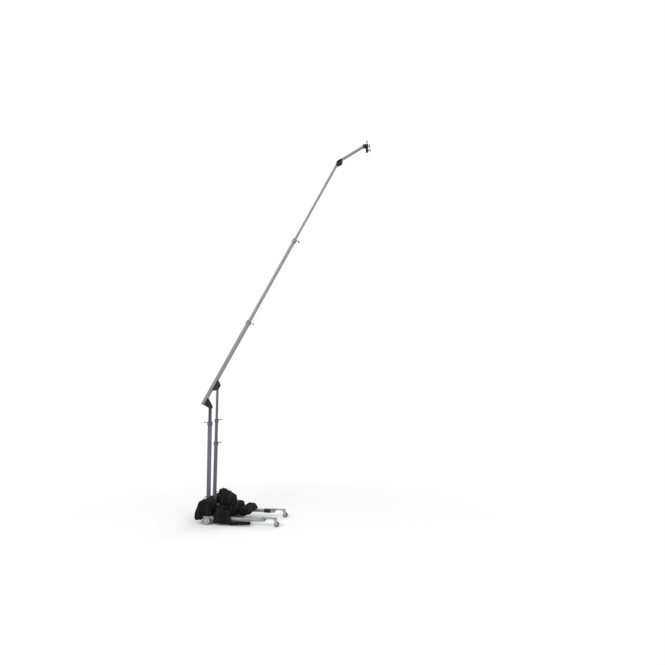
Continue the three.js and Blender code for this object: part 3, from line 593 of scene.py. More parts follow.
def baked(obj: bpy.types.Object) -> Mesh:
    """Gives the mesh that an object's modifiers make and removes the object.

    Args:
        obj: A linked object with its modifiers.

    Returns:
        The finished mesh.
    """
    graph = bpy.context.evaluated_depsgraph_get()
    mesh = bpy.data.meshes.new_from_object(obj.evaluated_get(graph), depsgraph=graph)
    bpy.data.objects.remove(obj)
    return mesh


def linked(name: str, data: bpy.types.ID) -> bpy.types.Object:
    """Makes an object of some data and links it to the scene.

    Args:
        name: The object's name.
        data: Its mesh, light or camera.

    Returns:
        The object.
    """
    obj = bpy.data.objects.new(name, data)
    bpy.context.scene.collection.objects.link(obj)
    return obj


def extent(node: str) -> tuple[Vector, Vector]:
    """A CAD node's lowest and highest corners in the row frame."""
    low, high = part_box(node)
    return Vector(low), Vector(high)


def centre_of(node: str) -> Vector:
    """The middle of a CAD node's box."""
    return sum(extent(node), Vector()) / 2


def rounded(form: Solid, width: float) -> Mesh:
    """Rounds the edges of a rigid form.

    Args:
        form: The form, which is freed.
        width: How wide the rounding is.

    Returns:
        The rounded mesh, shaded smooth.
    """
    mesh = to_mesh(form, "rounded")
    shade(mesh)
    obj = linked("work", mesh)
    bevel = obj.modifiers.new("edges", "BEVEL")
    bevel.width = width
    bevel.segments = 2
    bevel.limit_method = "ANGLE"
    bevel.angle_limit = math.radians(24)
    bevel.harden_normals = True
    return baked(obj)


def shade(mesh: Mesh, angle: float = 32) -> None:
    """Shades a mesh smooth except across edges sharper than an angle in degrees."""
    mesh.shade_smooth()
    mesh.set_sharp_from_angle(angle=math.radians(angle))


def rectangle(half: float, other: float) -> Points:
    """A rectangle's corners about the middle, from its two half sides."""
    return [(-half, -other), (half, -other), (half, other), (-half, other)]


def at_shares(low: float, high: float, shares: Iterable[float]) -> list[float]:
    """The values at some shares of the way from a low one to a high one."""
    return [low + share * (high - low) for share in shares]


def grid(xs: Iterable[float], ys: Iterable[float], z: float) -> list[Vector]:
    """The places where rows and columns cross at one height."""
    return [Vector((x, y, z)) for x in xs for y in ys]


def mirrored(profile: Points, *crest: Sequence[float]) -> list[Sequence[float]]:
    """A profile, what lies between its halves and its mirror image along the axis."""
    return [*profile, *crest, *((radius, -along) for radius, along in reversed(profile))]


class Form:
    """Closed shapes gathered in one mesh, in a piece's own axes."""

    def __init__(self) -> None:
        """Starts with nothing."""
        self.bm = bmesh.new()

    def rings(self, rings: Sequence[Points], closed: bool) -> "Form":
        """Joins rings of points into one skin.

        Args:
            rings: The rings, each with the same number of points or with one at a pole.
            closed: Whether the last ring joins the first one and no cap closes them.

        Returns:
            This form.
        """
        made = [[self.bm.verts.new(point) for point in ring] for ring in rings]
        pairs = list(zip(made, made[1:]))
        if closed:
            pairs.append((made[-1], made[0]))
        for low, high in pairs:
            count = max(len(low), len(high))
            for i in range(count):
                corners = [low[i % len(low)], low[(i + 1) % len(low)]]
                corners += [high[(i + 1) % len(high)], high[i % len(high)]]
                self.bm.faces.new(list(dict.fromkeys(corners)))
        for ring in (made[0], made[-1]):
            if len(ring) > 1 and not closed:
                self.bm.faces.new(ring)
        return self

    def turned(
        self, profile: Points, axis: str = "x", sides: int = 40, centre: Sequence[float] = (0, 0, 0)
    ) -> "Form":
        """Turns a profile about an axis.

        Args:
            profile: Points as radius and place along the axis; a closed one repeats none.
            axis: The axis, x, y or z.
            sides: How many sides the round has.
            centre: A point that the axis goes through.

        Returns:
            This form.
        """
        order = {"x": (2, 0, 1), "y": (1, 2, 0), "z": (0, 1, 2)}[axis]
        rings = []
        for radius, along in profile:
            count = sides if radius > 0 else 1
            ring = []
            for i in range(count):
                angle = 2 * math.pi * i / count
                flat = (radius * math.cos(angle), radius * math.sin(angle), along)
                ring.append([flat[order[k]] + centre[k] for k in range(3)])
            rings.append(ring)
        return self.rings(rings, closed=profile[0][0] > 0 and profile[-1][0] > 0)

    def rod(
        self, radius: float, ends: Sequence[float], axis: str = "y", sides: int = 40,
        chamfer: float = 0
    ) -> "Form":
        """A round rod.

        Args:
            radius: Its radius.
            ends: Where it starts and ends along the axis.
            axis: The axis, x, y or z.
            sides: How many sides the round has.
            chamfer: How far its rims are cut; the ends are in rising order then.

        Returns:
            This form.
        """
        low, high = ends
        rim = [(radius, low), (radius, high)]
        if chamfer:
            slim = radius - chamfer
            rim = [(slim, low), (radius, low + chamfer), (radius, high - chamfer), (slim, high)]
        return self.turned([(0, low), *rim, (0, high)], axis, sides)

    def plate(self, outline: Points, thickness: float, y: float = 0) -> "Form":
        """A plate drawn in x and z with its thickness across y, centred at y."""
        sides = [y - thickness / 2, y + thickness / 2]
        return self.rings([[(x, side, z) for x, z in outline] for side in sides], False)

    def mesh(self, place: Place, width: float = 0, sharp: float = 32) -> Mesh:
        """Finishes the form at its place.

        Args:
            place: Where it goes.
            width: How wide its edges are rounded; none at zero.
            sharp: The angle in degrees above which an edge is shaded sharp.

        Returns:
            The mesh in the row frame.
        """
        bmesh.ops.recalc_face_normals(self.bm, faces=self.bm.faces)
        self.bm.transform(place.matrix())
        if width:
            return rounded(self.bm, width)
        mesh = to_mesh(self.bm, "form")
        shade(mesh, sharp)
        return mesh


def piece(
    name: str, mesh: Mesh, finish: Finish, body: str, nodes: Iterable[str] = ()
) -> bpy.types.Object:
    """Makes a visible piece that rides on a body.

    Args:
        name: The piece's name.
        mesh: Its mesh, in the row frame.
        finish: Its finish.
        body: The CAD body that carries it.
        nodes: The CAD nodes that it stands for.

    Returns:
        The piece.
    """
    mesh.materials.clear()
    mesh.materials.append(finish.material())
    mesh.name = name
    obj = linked(name, mesh)
    for polygon in mesh.polygons:
        polygon.material_index = 0
    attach(obj, body)
    if nodes:
        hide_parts(*nodes)
    log.info("%s: %d faces on %s", name, len(mesh.polygons), body)
    return obj


def dressed(node: str, finish: Finish, body: str, width: float) -> None:
    """Replaces a CAD node by a copy in a finish, with edges rounded to a width."""
    mesh = rounded(bare_mesh(node), width)
    piece(f"{node}_finished", mesh, finish, body, [node])


def span(node: str, place: Place) -> tuple[Vector, Vector]:
    """Measures a CAD node in a piece's own axes.

    Args:
        node: The CAD node's name.
        place: The piece's place.

    Returns:
        The lowest and the highest corner.
    """
    back = place.matrix().inverted()
    corners = [back @ vertex.co for vertex in frame["nodes"][node].data.vertices]
    low = Vector([min(corner[i] for corner in corners) for i in range(3)])
    high = Vector([max(corner[i] for corner in corners) for i in range(3)])
    return low, high


# Forms that repeat, made with Geometry Nodes


@dataclass(frozen=True)
class Path:
    """A line on a surface and the directions that point out of the surface along it."""

    points: Sequence[Vector]
    outward: Sequence[Vector]
    closed: bool = False

    @staticmethod
    def straight(points: Sequence[Vector], outward: Vector, closed: bool = False) -> "Path":
        """A path whose outward direction, of any length, is the same all along."""
        return Path(points, [outward.normalized()] * len(points), closed)

    @staticmethod
    def circle(place: Place, radius: float, x: float, sides: int = 48) -> "Path":
        """A circle about a place's x axis, with its outward directions along the radius.

        Args:
            place: The place.
            radius: The circle's radius.
            x: Where it lies along the axis.
            sides: How many points it has.

        Returns:
            The closed path.
        """
        turns = [2 * math.pi * i / sides for i in range(sides)]
        spokes = [Vector((0, math.cos(a), math.sin(a))) for a in turns]
        turned = place.matrix().to_3x3()
        points = [place.matrix() @ (spoke * radius + Vector((x, 0, 0))) for spoke in spokes]
        return Path(points, [turned @ spoke for spoke in spokes], True)


class Bead(Enum):
    """The form that is set along a path or on points."""

    ROUND = "round"
    BLOCK = "block"
    HEXAGON = "hexagon"


class Repeats:
    """Trees that set many small forms, and the meshes that they give."""

    SIZES = ("Spacing", "Length", "Width", "Height", "Jitter")

    def __init__(self) -> None:
        """Builds a tree for each form and one for a screw's thread."""
        self.along = {bead: self._tree(bead, True) for bead in Bead}
        self.on_points = {bead: self._tree(bead, False) for bead in Bead}
        self.thread = self._thread()

    @staticmethod
    def _open(name: str, sizes: Iterable[str]) -> tuple[NodeSheet, Outputs]:
        """Starts a tree.

        Args:
            name: The tree's name.
            sizes: The names of its number inputs.

        Returns:
            The tree's sheet and the sockets of its inputs.
        """
        tree = bpy.data.node_groups.new(name, "GeometryNodeTree")
        kinds = {"Geometry": "Geometry", **dict.fromkeys(sizes, "Float")}
        for label, kind in {**kinds, "Seed": "Int", "Material": "Material"}.items():
            add_socket(tree, label, kind)
        add_socket(tree, "Geometry", "Geometry", "OUTPUT")
        sheet = NodeSheet(tree)
        return sheet, sheet.add("NodeGroupInput").outputs

    @staticmethod
    def _close(sheet: NodeSheet, given: Outputs, made: Socket) -> Tree:
        """Ends a tree with real geometry and its material.

        Args:
            sheet: The tree's sheet.
            given: The sockets of its inputs.
            made: The geometry that it makes.

        Returns:
            The tree.
        """
        real = sheet.out("GeometryNodeRealizeInstances", {0: made})
        values = {"Geometry": real, "Material": given["Material"]}
        sheet.add("NodeGroupOutput", {0: sheet.out("GeometryNodeSetMaterial", values)})
        return sheet.tree

    def _form(self, sheet: NodeSheet, bead: Bead) -> Socket:
        """The form that is repeated, one unit in size and standing on its base.

        Args:
            sheet: The tree's sheet.
            bead: The form.

        Returns:
            The socket that gives it.
        """
        if bead is Bead.ROUND:
            values = {"Segments": 8, "Rings": 5, "Radius": 0.5}
            ball = sheet.out("GeometryNodeMeshUVSphere", values)
            return sheet.out("GeometryNodeSetShadeSmooth", {0: ball})
        if bead is Bead.BLOCK:
            return sheet.out("GeometryNodeMeshCube", {"Size": (1.0, 1.0, 1.0)})
        both = sheet.add("GeometryNodeJoinGeometry")
        for sides, radius, low, high in ((6, 0.5, 0.2, 1.0), (20, 0.62, 0.0, 0.2)):
            values = {"Vertices": sides, "Radius": radius, "Depth": high - low}
            rod = sheet.out("GeometryNodeMeshCylinder", values)
            values = {"Geometry": rod, "Translation": (0.0, 0.0, (low + high) / 2)}
            sheet.tree.links.new(sheet.out("GeometryNodeTransform", values), both.inputs[0])
        return both.outputs[0]

    def _tree(self, bead: Bead, along: bool) -> Tree:
        """A tree that sets a form along paths, or on points.

        Args:
            bead: The form.
            along: Whether the geometry is paths and not points.

        Returns:
            The tree.
        """
        name = f"{bead.value} forms {'along a path' if along else 'on points'}"
        sheet, given = self._open(name, self.SIZES)
        places = given["Geometry"]
        values = {"Name": "outward"}
        outward = sheet.add("GeometryNodeInputNamedAttribute", values, data_type="FLOAT_VECTOR")
        turn: dict[str, object] = {"Vector": outward.outputs["Attribute"]}
        pivot = "AUTO"
        if along:
            values = {"Curve": sheet.out("GeometryNodeMeshToCurve", {0: places})}
            values["Length"] = given["Spacing"]
            places = sheet.out("GeometryNodeResampleCurve", values, mode="LENGTH")
            values = {"Vector": sheet.out("GeometryNodeInputTangent")}
            turn["Rotation"] = sheet.out("FunctionNodeAlignRotationToVector", values, axis="X")
            pivot = "X"
        upright = sheet.out("FunctionNodeAlignRotationToVector", turn, axis="Z", pivot_axis=pivot)
        values = {i: given[size] for i, size in enumerate(self.SIZES[1:4])}
        size = sheet.out("ShaderNodeCombineXYZ", values)
        values = {"Geometry": self._form(sheet, bead), "Scale": size}
        shaped = sheet.out("GeometryNodeTransform", values)
        low, high = (sheet.math(way, 1.0, given["Jitter"]) for way in ("SUBTRACT", "ADD"))
        values = {2: low, 3: high, "Seed": given["Seed"]}
        chance = sheet.add("FunctionNodeRandomValue", values, data_type="FLOAT").outputs[1]
        values = {"Points": places, "Instance": shaped, "Rotation": upright, "Scale": chance}
        return self._close(sheet, given, sheet.out("GeometryNodeInstanceOnPoints", values))

    def _thread(self) -> Tree:
        """A tree that winds a screw's thread along z.

        Returns:
            The tree.
        """
        sheet, given = self._open("screw thread", ("Turns", "Radius", "Rise", "Depth"))
        values = {"Resolution": 14, "Rotations": given["Turns"], "Height": given["Rise"]}
        values |= dict.fromkeys(("Start Radius", "End Radius"), given["Radius"])
        spiral = sheet.out("GeometryNodeCurveSpiral", values)
        values = {"Resolution": 4, "Radius": given["Depth"]}
        ridge = sheet.out("GeometryNodeCurvePrimitiveCircle", values)
        values = {"Curve": spiral, "Profile Curve": ridge, "Fill Caps": True}
        return self._close(sheet, given, sheet.out("GeometryNodeCurveToMesh", values))

    @staticmethod
    def _run(tree: Tree, mesh: Mesh, values: dict) -> Mesh:
        """Runs a tree on a mesh.

        Args:
            tree: The tree.
            mesh: The mesh.
            values: The tree's inputs by name.

        Returns:
            The mesh that results.
        """
        obj = linked("work", mesh)
        modifier = obj.modifiers.new("nodes", "NODES")
        modifier.node_group = tree
        for item in tree.interface.items_tree:
            if item.in_out == "INPUT" and item.name in values:
                modifier[item.identifier] = values[item.name]
        return baked(obj)

    def set_out(
        self, name: str, body: str, bead: Bead, paths: Sequence[Path], size: Sequence[float],
        finish: Finish, spacing: float = 0, jitter: float = 0, seed: int = 7
    ) -> None:
        """Makes a piece of forms along paths, or on their points where no spacing is given.

        Args:
            name: The piece's name.
            body: The CAD body that carries it.
            bead: The form.
            paths: Where the forms go.
            size: Each form's length, width and height.
            finish: The finish of the forms.
            spacing: How far apart they are along the path.
            jitter: How much their sizes differ, as a share.
            seed: The seed of that difference.
        """
        points, edges, outward = [], [], []
        for path in paths:
            first = len(points)
            points += path.points
            outward += path.outward
            count = len(path.points)
            if spacing:
                edges += [(first + i, first + i + 1) for i in range(count - 1)]
                edges += [(first + count - 1, first)] if path.closed else []
        mesh = bpy.data.meshes.new("places")
        mesh.from_pydata(points, edges, [])
        stored = mesh.attributes.new("outward", "FLOAT_VECTOR", "POINT")
        stored.data.foreach_set("vector", [c for vector in outward for c in vector])
        values = dict(zip(self.SIZES, (spacing, *size, jitter)))
        values |= {"Seed": seed, "Material": finish.material()}
        tree = (self.along if spacing else self.on_points)[bead]
        piece(name, self._run(tree, mesh, values), finish, body)

    def wound(self, place: Place, radius: float, rise: float, pitch: float, finish: Finish) -> Mesh:
        """Winds a thread along a place's x axis.

        Args:
            place: Where the thread starts, with x along it.
            radius: The thread's middle radius.
            rise: The thread's length.
            pitch: How far it rises in a turn.
            finish: Its finish.

        Returns:
            The thread's mesh, in the row frame.
        """
        values = {"Turns": rise / pitch, "Radius": radius, "Rise": rise, "Depth": pitch * 0.42}
        values |= {"Material": finish.material()}
        mesh = self._run(self.thread, bpy.data.meshes.new("empty"), values)
        along = Matrix(((0, 0, 1), (1, 0, 0), (0, 1, 0))).to_4x4()
        mesh.transform(place.matrix() @ along)
        return mesh


repeats = Repeats()


def bolts(name: str, spots: Sequence[Vector], outward: Vector, width: float, body: str) -> None:
    """Sets bolt heads with washers on a face.

    Args:
        name: The piece's name.
        spots: Where the bolts are.
        outward: The direction out of the face.
        width: Each head's width over its corners.
        body: The CAD body that carries them.
    """
    path = Path.straight(spots, outward)
    size = (width, width, width * 0.55)
    repeats.set_out(name, body, Bead.HEXAGON, [path], size, Finishes.zinc)


def weld(
    name: str, paths: Sequence[Path], width: float, finish: Finish, body: str, seed: int = 3
) -> None:
    """Lays weld beads along paths.

    Args:
        name: The piece's name.
        paths: Where the beads go.
        width: How wide the beads are.
        finish: Their finish.
        body: The CAD body that carries them.
        seed: The seed of their unevenness.
    """
    size = (width * 0.8, width, width * 0.55)
    spacing = width * 0.42
    repeats.set_out(name, body, Bead.ROUND, paths, size, finish, spacing, jitter=0.14, seed=seed)


@dataclass
class CrossBolt:
    """A bolt across the machine with its head on the near side and a nut on the far one."""

    radius: float
    head: float
    height: float
    washer: float = 1.6 * MM

    def build(self, node: str, body: str) -> None:
        """Builds the bolt in the place of its CAD node.

        Args:
            node: The CAD node's name.
            body: The CAD body that carries it.
        """
        place = Place(centre_of(node))
        low, high = span(node, place)
        grip = high.y - self.height
        base, end = grip + self.washer, grip + self.height - 0.5 * MM
        flats, crown = self.head * 0.9, self.head * 0.78
        head = [(0, base), (flats, base), (flats, end - 1.2 * MM), (crown, end), (0, end)]
        form = Form().rod(self.radius, (low.y, high.y), sides=24)
        for side, _ in SIDES:
            form.rod(self.head * 0.97, (side * grip, side * base), sides=32)
            form.turned([(radius, side * y) for radius, y in head], "y", 6)
        piece(f"{node}_turned", form.mesh(place), Finishes.dark_bolt, body, [node])


# Sub-assemblies


@dataclass
class Knob:
    """A clamp screw with a T handle, which stands for a CAD node and turns on its own joint."""

    node: str
    screw: float = 6 * MM
    hub: float = 11 * MM
    hub_length: float = 22 * MM
    bar: float = 6 * MM
    bar_length: float = 92 * MM
    chamfer: float = 1.2 * MM
    pitch: float = 1.75 * MM
    slack: float = 0.3 * MM

    @property
    def body(self) -> str:
        """The CAD body that turns with the handle."""
        return f"{self.node}_body"

    def place(self) -> Place:
        """Finds the screw's tip, with x along the screw and y along the bar.

        Returns:
            The place.
        """
        joint = f"{self.node}_turn"
        origin, axis = skeleton.pivot(joint), skeleton.axis(joint)
        spokes = []
        for vertex in frame["nodes"][self.node].data.vertices:
            reach = vertex.co - origin
            spokes.append(reach - reach.dot(axis) * axis)
        far = max(spoke.length for spoke in spokes) - self.slack
        first = next(spoke for spoke in spokes if spoke.length > far)
        near = [spoke for spoke in spokes if (spoke - first).length < 3 * self.bar]
        ends = [spoke for spoke in near if spoke.length > far]
        middle = sum(ends, Vector()) / len(ends)
        place = Place(origin, axis, middle - middle.dot(axis) * axis)
        return place.moved(x=span(self.node, place)[0].x)

    def build(self) -> None:
        """Builds the handle, its screw and the screw's thread."""
        place, c = self.place(), self.chamfer
        far = span(self.node, place)[1].x
        length = far - self.hub_length
        core = self.screw - 0.7 * MM
        form = Form()
        tip = [(0, 0), (self.screw * 0.7, 0), (core, c), (core, length), (0, length)]
        form.turned(tip, sides=20)
        hub = [(0, length), (self.hub - c, length), (self.hub, length + c)]
        for share in (0.12, 0.24, 0.76, 0.88):
            x = length + self.hub_length * share
            hub += [(self.hub, x), (self.hub - 0.7 * MM, x + c * 0.6)]
        form.turned([*hub, (self.hub, far - c), (self.hub - c, far), (0, far)], sides=28)
        end, ball, slim = -self.bar_length / 2, self.bar + 0.6 * MM, self.bar * 0.86
        knob = [(0, end), (ball * 0.6, end + 0.8 * MM), (ball, end + 4 * MM)]
        knob += [(ball * 0.94, end + 9 * MM), (slim, end + 15 * MM)]
        form.turned(mirrored(knob), "y", 20, (length + self.hub_length / 2, 0, 0))
        mesh = form.mesh(place)
        piece(f"{self.node}_handle", mesh, Finishes.black_steel, self.body, [self.node])
        start, radius = place.moved(x=c), self.screw - 0.75 * MM
        winding = repeats.wound(start, radius, length - 2 * c, self.pitch, Finishes.zinc)
        piece(f"{self.node}_thread", winding, Finishes.zinc, self.body)


@dataclass
class Plug:
    """A moulded plug that closes a square tube's end."""

    lip: float = 2.2 * MM
    gap: float = 0.25 * MM

    def build(self, name: str, body: str, place: Place, size: Sequence[float], wall: float) -> None:
        """Builds a plug with a raised middle.

        Args:
            name: The piece's name.
            body: The CAD body that carries it.
            place: The middle of the tube's end, with x out of the tube.
            size: The tube's outer size along the place's y and z.
            wall: The tube's wall.
        """
        insides = [length - 2 * wall - 2 * self.gap for length in size]
        middles = [length - 4 * wall for length in size]
        depth = 12 * MM
        form = Form()
        sheets = (
            (insides, -depth, 0), (size, self.gap, self.lip), (middles, self.lip, self.lip * 1.7)
        )
        for sides, low, high in sheets:
            corners = rectangle(sides[0] / 2, sides[1] / 2)
            form.rings([[(x, y, z) for y, z in corners] for x in (low, high)], False)
        piece(name, form.mesh(place, width=0.8 * MM), Finishes.plastic, body)


@dataclass
class ClampCollar:
    """A collar that guides a sliding tube, with its clamp handle and its fixing screws.

    Its line is the tube's, with x out of the collar's mouth.
    """

    node: str
    body: str
    line: Place
    tube: float
    finish: Finish
    edge: float = 1.6 * MM
    screw: float = 9 * MM
    sleeve: float = 44 * MM
    lip: float = 30 * MM

    def build(self) -> None:
        """Dresses the collar and builds what is on it."""
        dressed(self.node, self.finish, self.body, self.edge)
        Knob(self.node.replace("collar", "knob")).build()
        high = span(self.node, self.line)[1]
        mouth = self.line.moved(x=high.x - self.lip)
        for side, word in SIDES:
            spots = [mouth.at(x=-self.sleeve * share, y=side * high.y) for share in (0.3, 0.72)]
            bolts(f"{self.node}_screws_{word}", spots, ACROSS * side, self.screw, self.body)
        face = self.tube / 2 + 0.3 * MM
        place = mouth.moved(x=-self.sleeve)
        corners = rectangle(face, face)
        paths = []
        for (ya, za), (yb, zb) in zip(corners, corners[1:] + corners[:1]):
            out = place.matrix().to_3x3() @ Vector((-1, (ya + yb) / face / 2, (za + zb) / face / 2))
            ends = [place.at(y=ya, z=za), place.at(y=yb, z=zb)]
            paths.append(Path.straight(ends, out))
        weld(f"{self.node}_weld", paths, 3.6 * MM, self.finish, self.body)


@dataclass
class BaseFrame:
    """The welded frame on the floor, its deck and the bracket that holds the mast."""

    edge: float = 1.4 * MM
    bead: float = 6 * MM
    bolt: float = 17 * MM
    leg: tuple[float, float] = (50 * MM, 60 * MM)
    wall: float = 4 * MM
    leg_line: float = 330 * MM
    leg_middle: float = 120 * MM
    cross: float = 20 * MM
    cross_ends: tuple[float, float] = (110 * MM, 148 * MM)
    lug: float = 23 * MM
    cheek: float = 40.05 * MM
    flange: float = 8 * MM
    king_pin: float = -44.508 * MM
    king_nut: float = 24 * MM
    body: str = "base"

    def build(self) -> None:
        """Dresses the frame and builds its details."""
        dressed("base_frame", Finishes.paint, self.body, self.edge)
        dressed("deck_plate", Finishes.deck, self.body, self.edge)
        dressed("foot_bracket", Finishes.paint, self.body, self.edge)
        for side in ("left", "right"):
            dressed(f"nose_plate_{side}", Finishes.plate_steel, self.body, self.edge)
        self.lay_welds()
        self.set_bolts()
        self.close_legs()
        self.add_shade_sleeve()
        self.turn_axle()
        for node in ("mast_bolt_low", "mast_bolt_high"):
            CrossBolt(radius=8 * MM, head=13 * MM, height=8 * MM).build(node, self.body)

    def lay_welds(self) -> None:
        """Lays the beads at the cross tubes, the axle lugs and the bracket's cheeks."""
        low, high = extent("deck_plate")
        inner = self.leg_line - self.leg[0] / 2
        paths = []
        for x in at_shares(low.x, high.x, (0.04, 0.4, 0.78)):
            for side in (-1, 1):
                y = side * inner
                for turn in (-1, 1):
                    points = [Vector((x + turn * self.cross, y, z)) for z in self.cross_ends]
                    paths.append(Path.straight(points, Vector((turn, -side, 0))))
                under = grid((x - self.cross, x + self.cross), [y], self.cross_ends[0])
                paths.append(Path.straight(under, Vector((0, -side, -1))))
        axle = centre_of("rear_axle")
        foot = self.leg_middle - self.leg[1] / 2
        for side in (-1, 1):
            for edge in (-1, 1):
                y = side * self.leg_line + edge * self.leg[0] / 2
                ends = grid((axle.x - self.lug, axle.x + self.lug), [y], foot)
                paths.append(Path.straight(ends, Vector((0, edge, -1))))
        weld("frame_welds", paths, self.bead, Finishes.paint, self.body)
        low, high = extent("foot_bracket")
        paths = []
        for side in (-1, 1):
            xs, z = (low.x + 4 * MM, high.x - 4 * MM), low.z + self.flange
            ends = grid(xs, [side * self.cheek], z)
            paths.append(Path.straight(ends, Vector((0, side, 1))))
        weld("bracket_welds", paths, self.bead, Finishes.paint, self.body, seed=11)

    def set_bolts(self) -> None:
        """Sets the bolts of the bracket's flange, the deck's edges and the nose plates."""
        low, high = extent("foot_bracket")
        xs, y = at_shares(low.x, high.x, (0.08, 0.36, 0.64, 0.92)), high.y - 13 * MM
        spots = grid(xs, (-y, y), low.z + self.flange)
        bolts("bracket_bolts", spots, UP, self.bolt, self.body)
        low, high = extent("deck_plate")
        xs, y = at_shares(low.x, high.x, (0.02, 0.98)), self.leg_line
        spots = grid(xs, (-y, y), high.z) + grid([low.x + 18 * MM], (-110 * MM, 110 * MM), high.z)
        bolts("deck_bolts", spots, UP, self.bolt, self.body)
        for side in ("left", "right"):
            low, high = extent(f"nose_plate_{side}")
            y = (low.y + high.y) / 2
            spots = grid((low.x + 18 * MM, low.x + 52 * MM), (y - 14 * MM, y + 14 * MM), high.z)
            bolts(f"nose_plate_bolts_{side}", spots, UP, self.bolt, self.body)
            king = grid([self.king_pin], [y], high.z)
            bolts(f"king_pin_nut_{side}", king, UP, self.king_nut, self.body)

    def close_legs(self) -> None:
        """Closes the legs' ends."""
        end = extent("base_frame")[0].x
        for side, word in ((-1, "left"), (1, "right")):
            back = Place(Vector((end, side * self.leg_line, self.leg_middle)), -LEVEL)
            Plug().build(f"leg_plug_rear_{word}", self.body, back, self.leg, self.wall)

    def add_shade_sleeve(self) -> None:
        """Wraps the ribbed black rubber sleeve on the far leg: painted shade, a dark sleeve that
        stands for the shade on that leg's inner side.
        """
        dressed("leg_wrap", Finishes.shade_sleeve, self.body, 2 * MM)
        low, high = extent("leg_wrap")
        paths = []
        for x in at_shares(low.x, high.x, [i / 10 for i in range(1, 10)]):
            for z, out in ((high.z, UP), (low.z, -UP)):
                ends = [Vector((x, y, z)) for y in (low.y + 3 * MM, high.y - 3 * MM)]
                paths.append(Path.straight(ends, out))
            for y, out in ((high.y, ACROSS), (low.y, -ACROSS)):
                ends = [Vector((x, y, z)) for z in (low.z + 3 * MM, high.z - 3 * MM)]
                paths.append(Path.straight(ends, out))
        size = (4.4 * MM, 4 * MM, 1.6 * MM)
        name, finish = "shade_sleeve_ribs", Finishes.shade_sleeve
        repeats.set_out(name, self.body, Bead.BLOCK, paths, size, finish, spacing=4.2 * MM)

    def turn_axle(self) -> None:
        """Turns the rear axle with its spacers and domed caps."""
        place = Place(centre_of("rear_axle"))
        reach = span("rear_axle", place)[1].y
        leg_side = self.leg_line + self.leg[0] / 2 + 0.3 * MM
        wheel_side = reach - 6 * MM
        spacer = (leg_side, leg_side + 21.4 * MM)
        dome = [(0, 0), (15, 0), (15, 2), (12.5, 4.2), (8, 5.5), (0, 6)]
        form = Form().rod(10 * MM, (-wheel_side, wheel_side))
        for side, _ in SIDES:
            ends = sorted(side * y for y in spacer)
            form.rod(15 * MM, ends, sides=36, chamfer=0.8 * MM)
            cap = [(radius * MM, side * (wheel_side + y * MM)) for radius, y in dome]
            form.turned(cap, "y", 36)
        piece("rear_axle_turned", form.mesh(place), Finishes.zinc, self.body, ["rear_axle"])


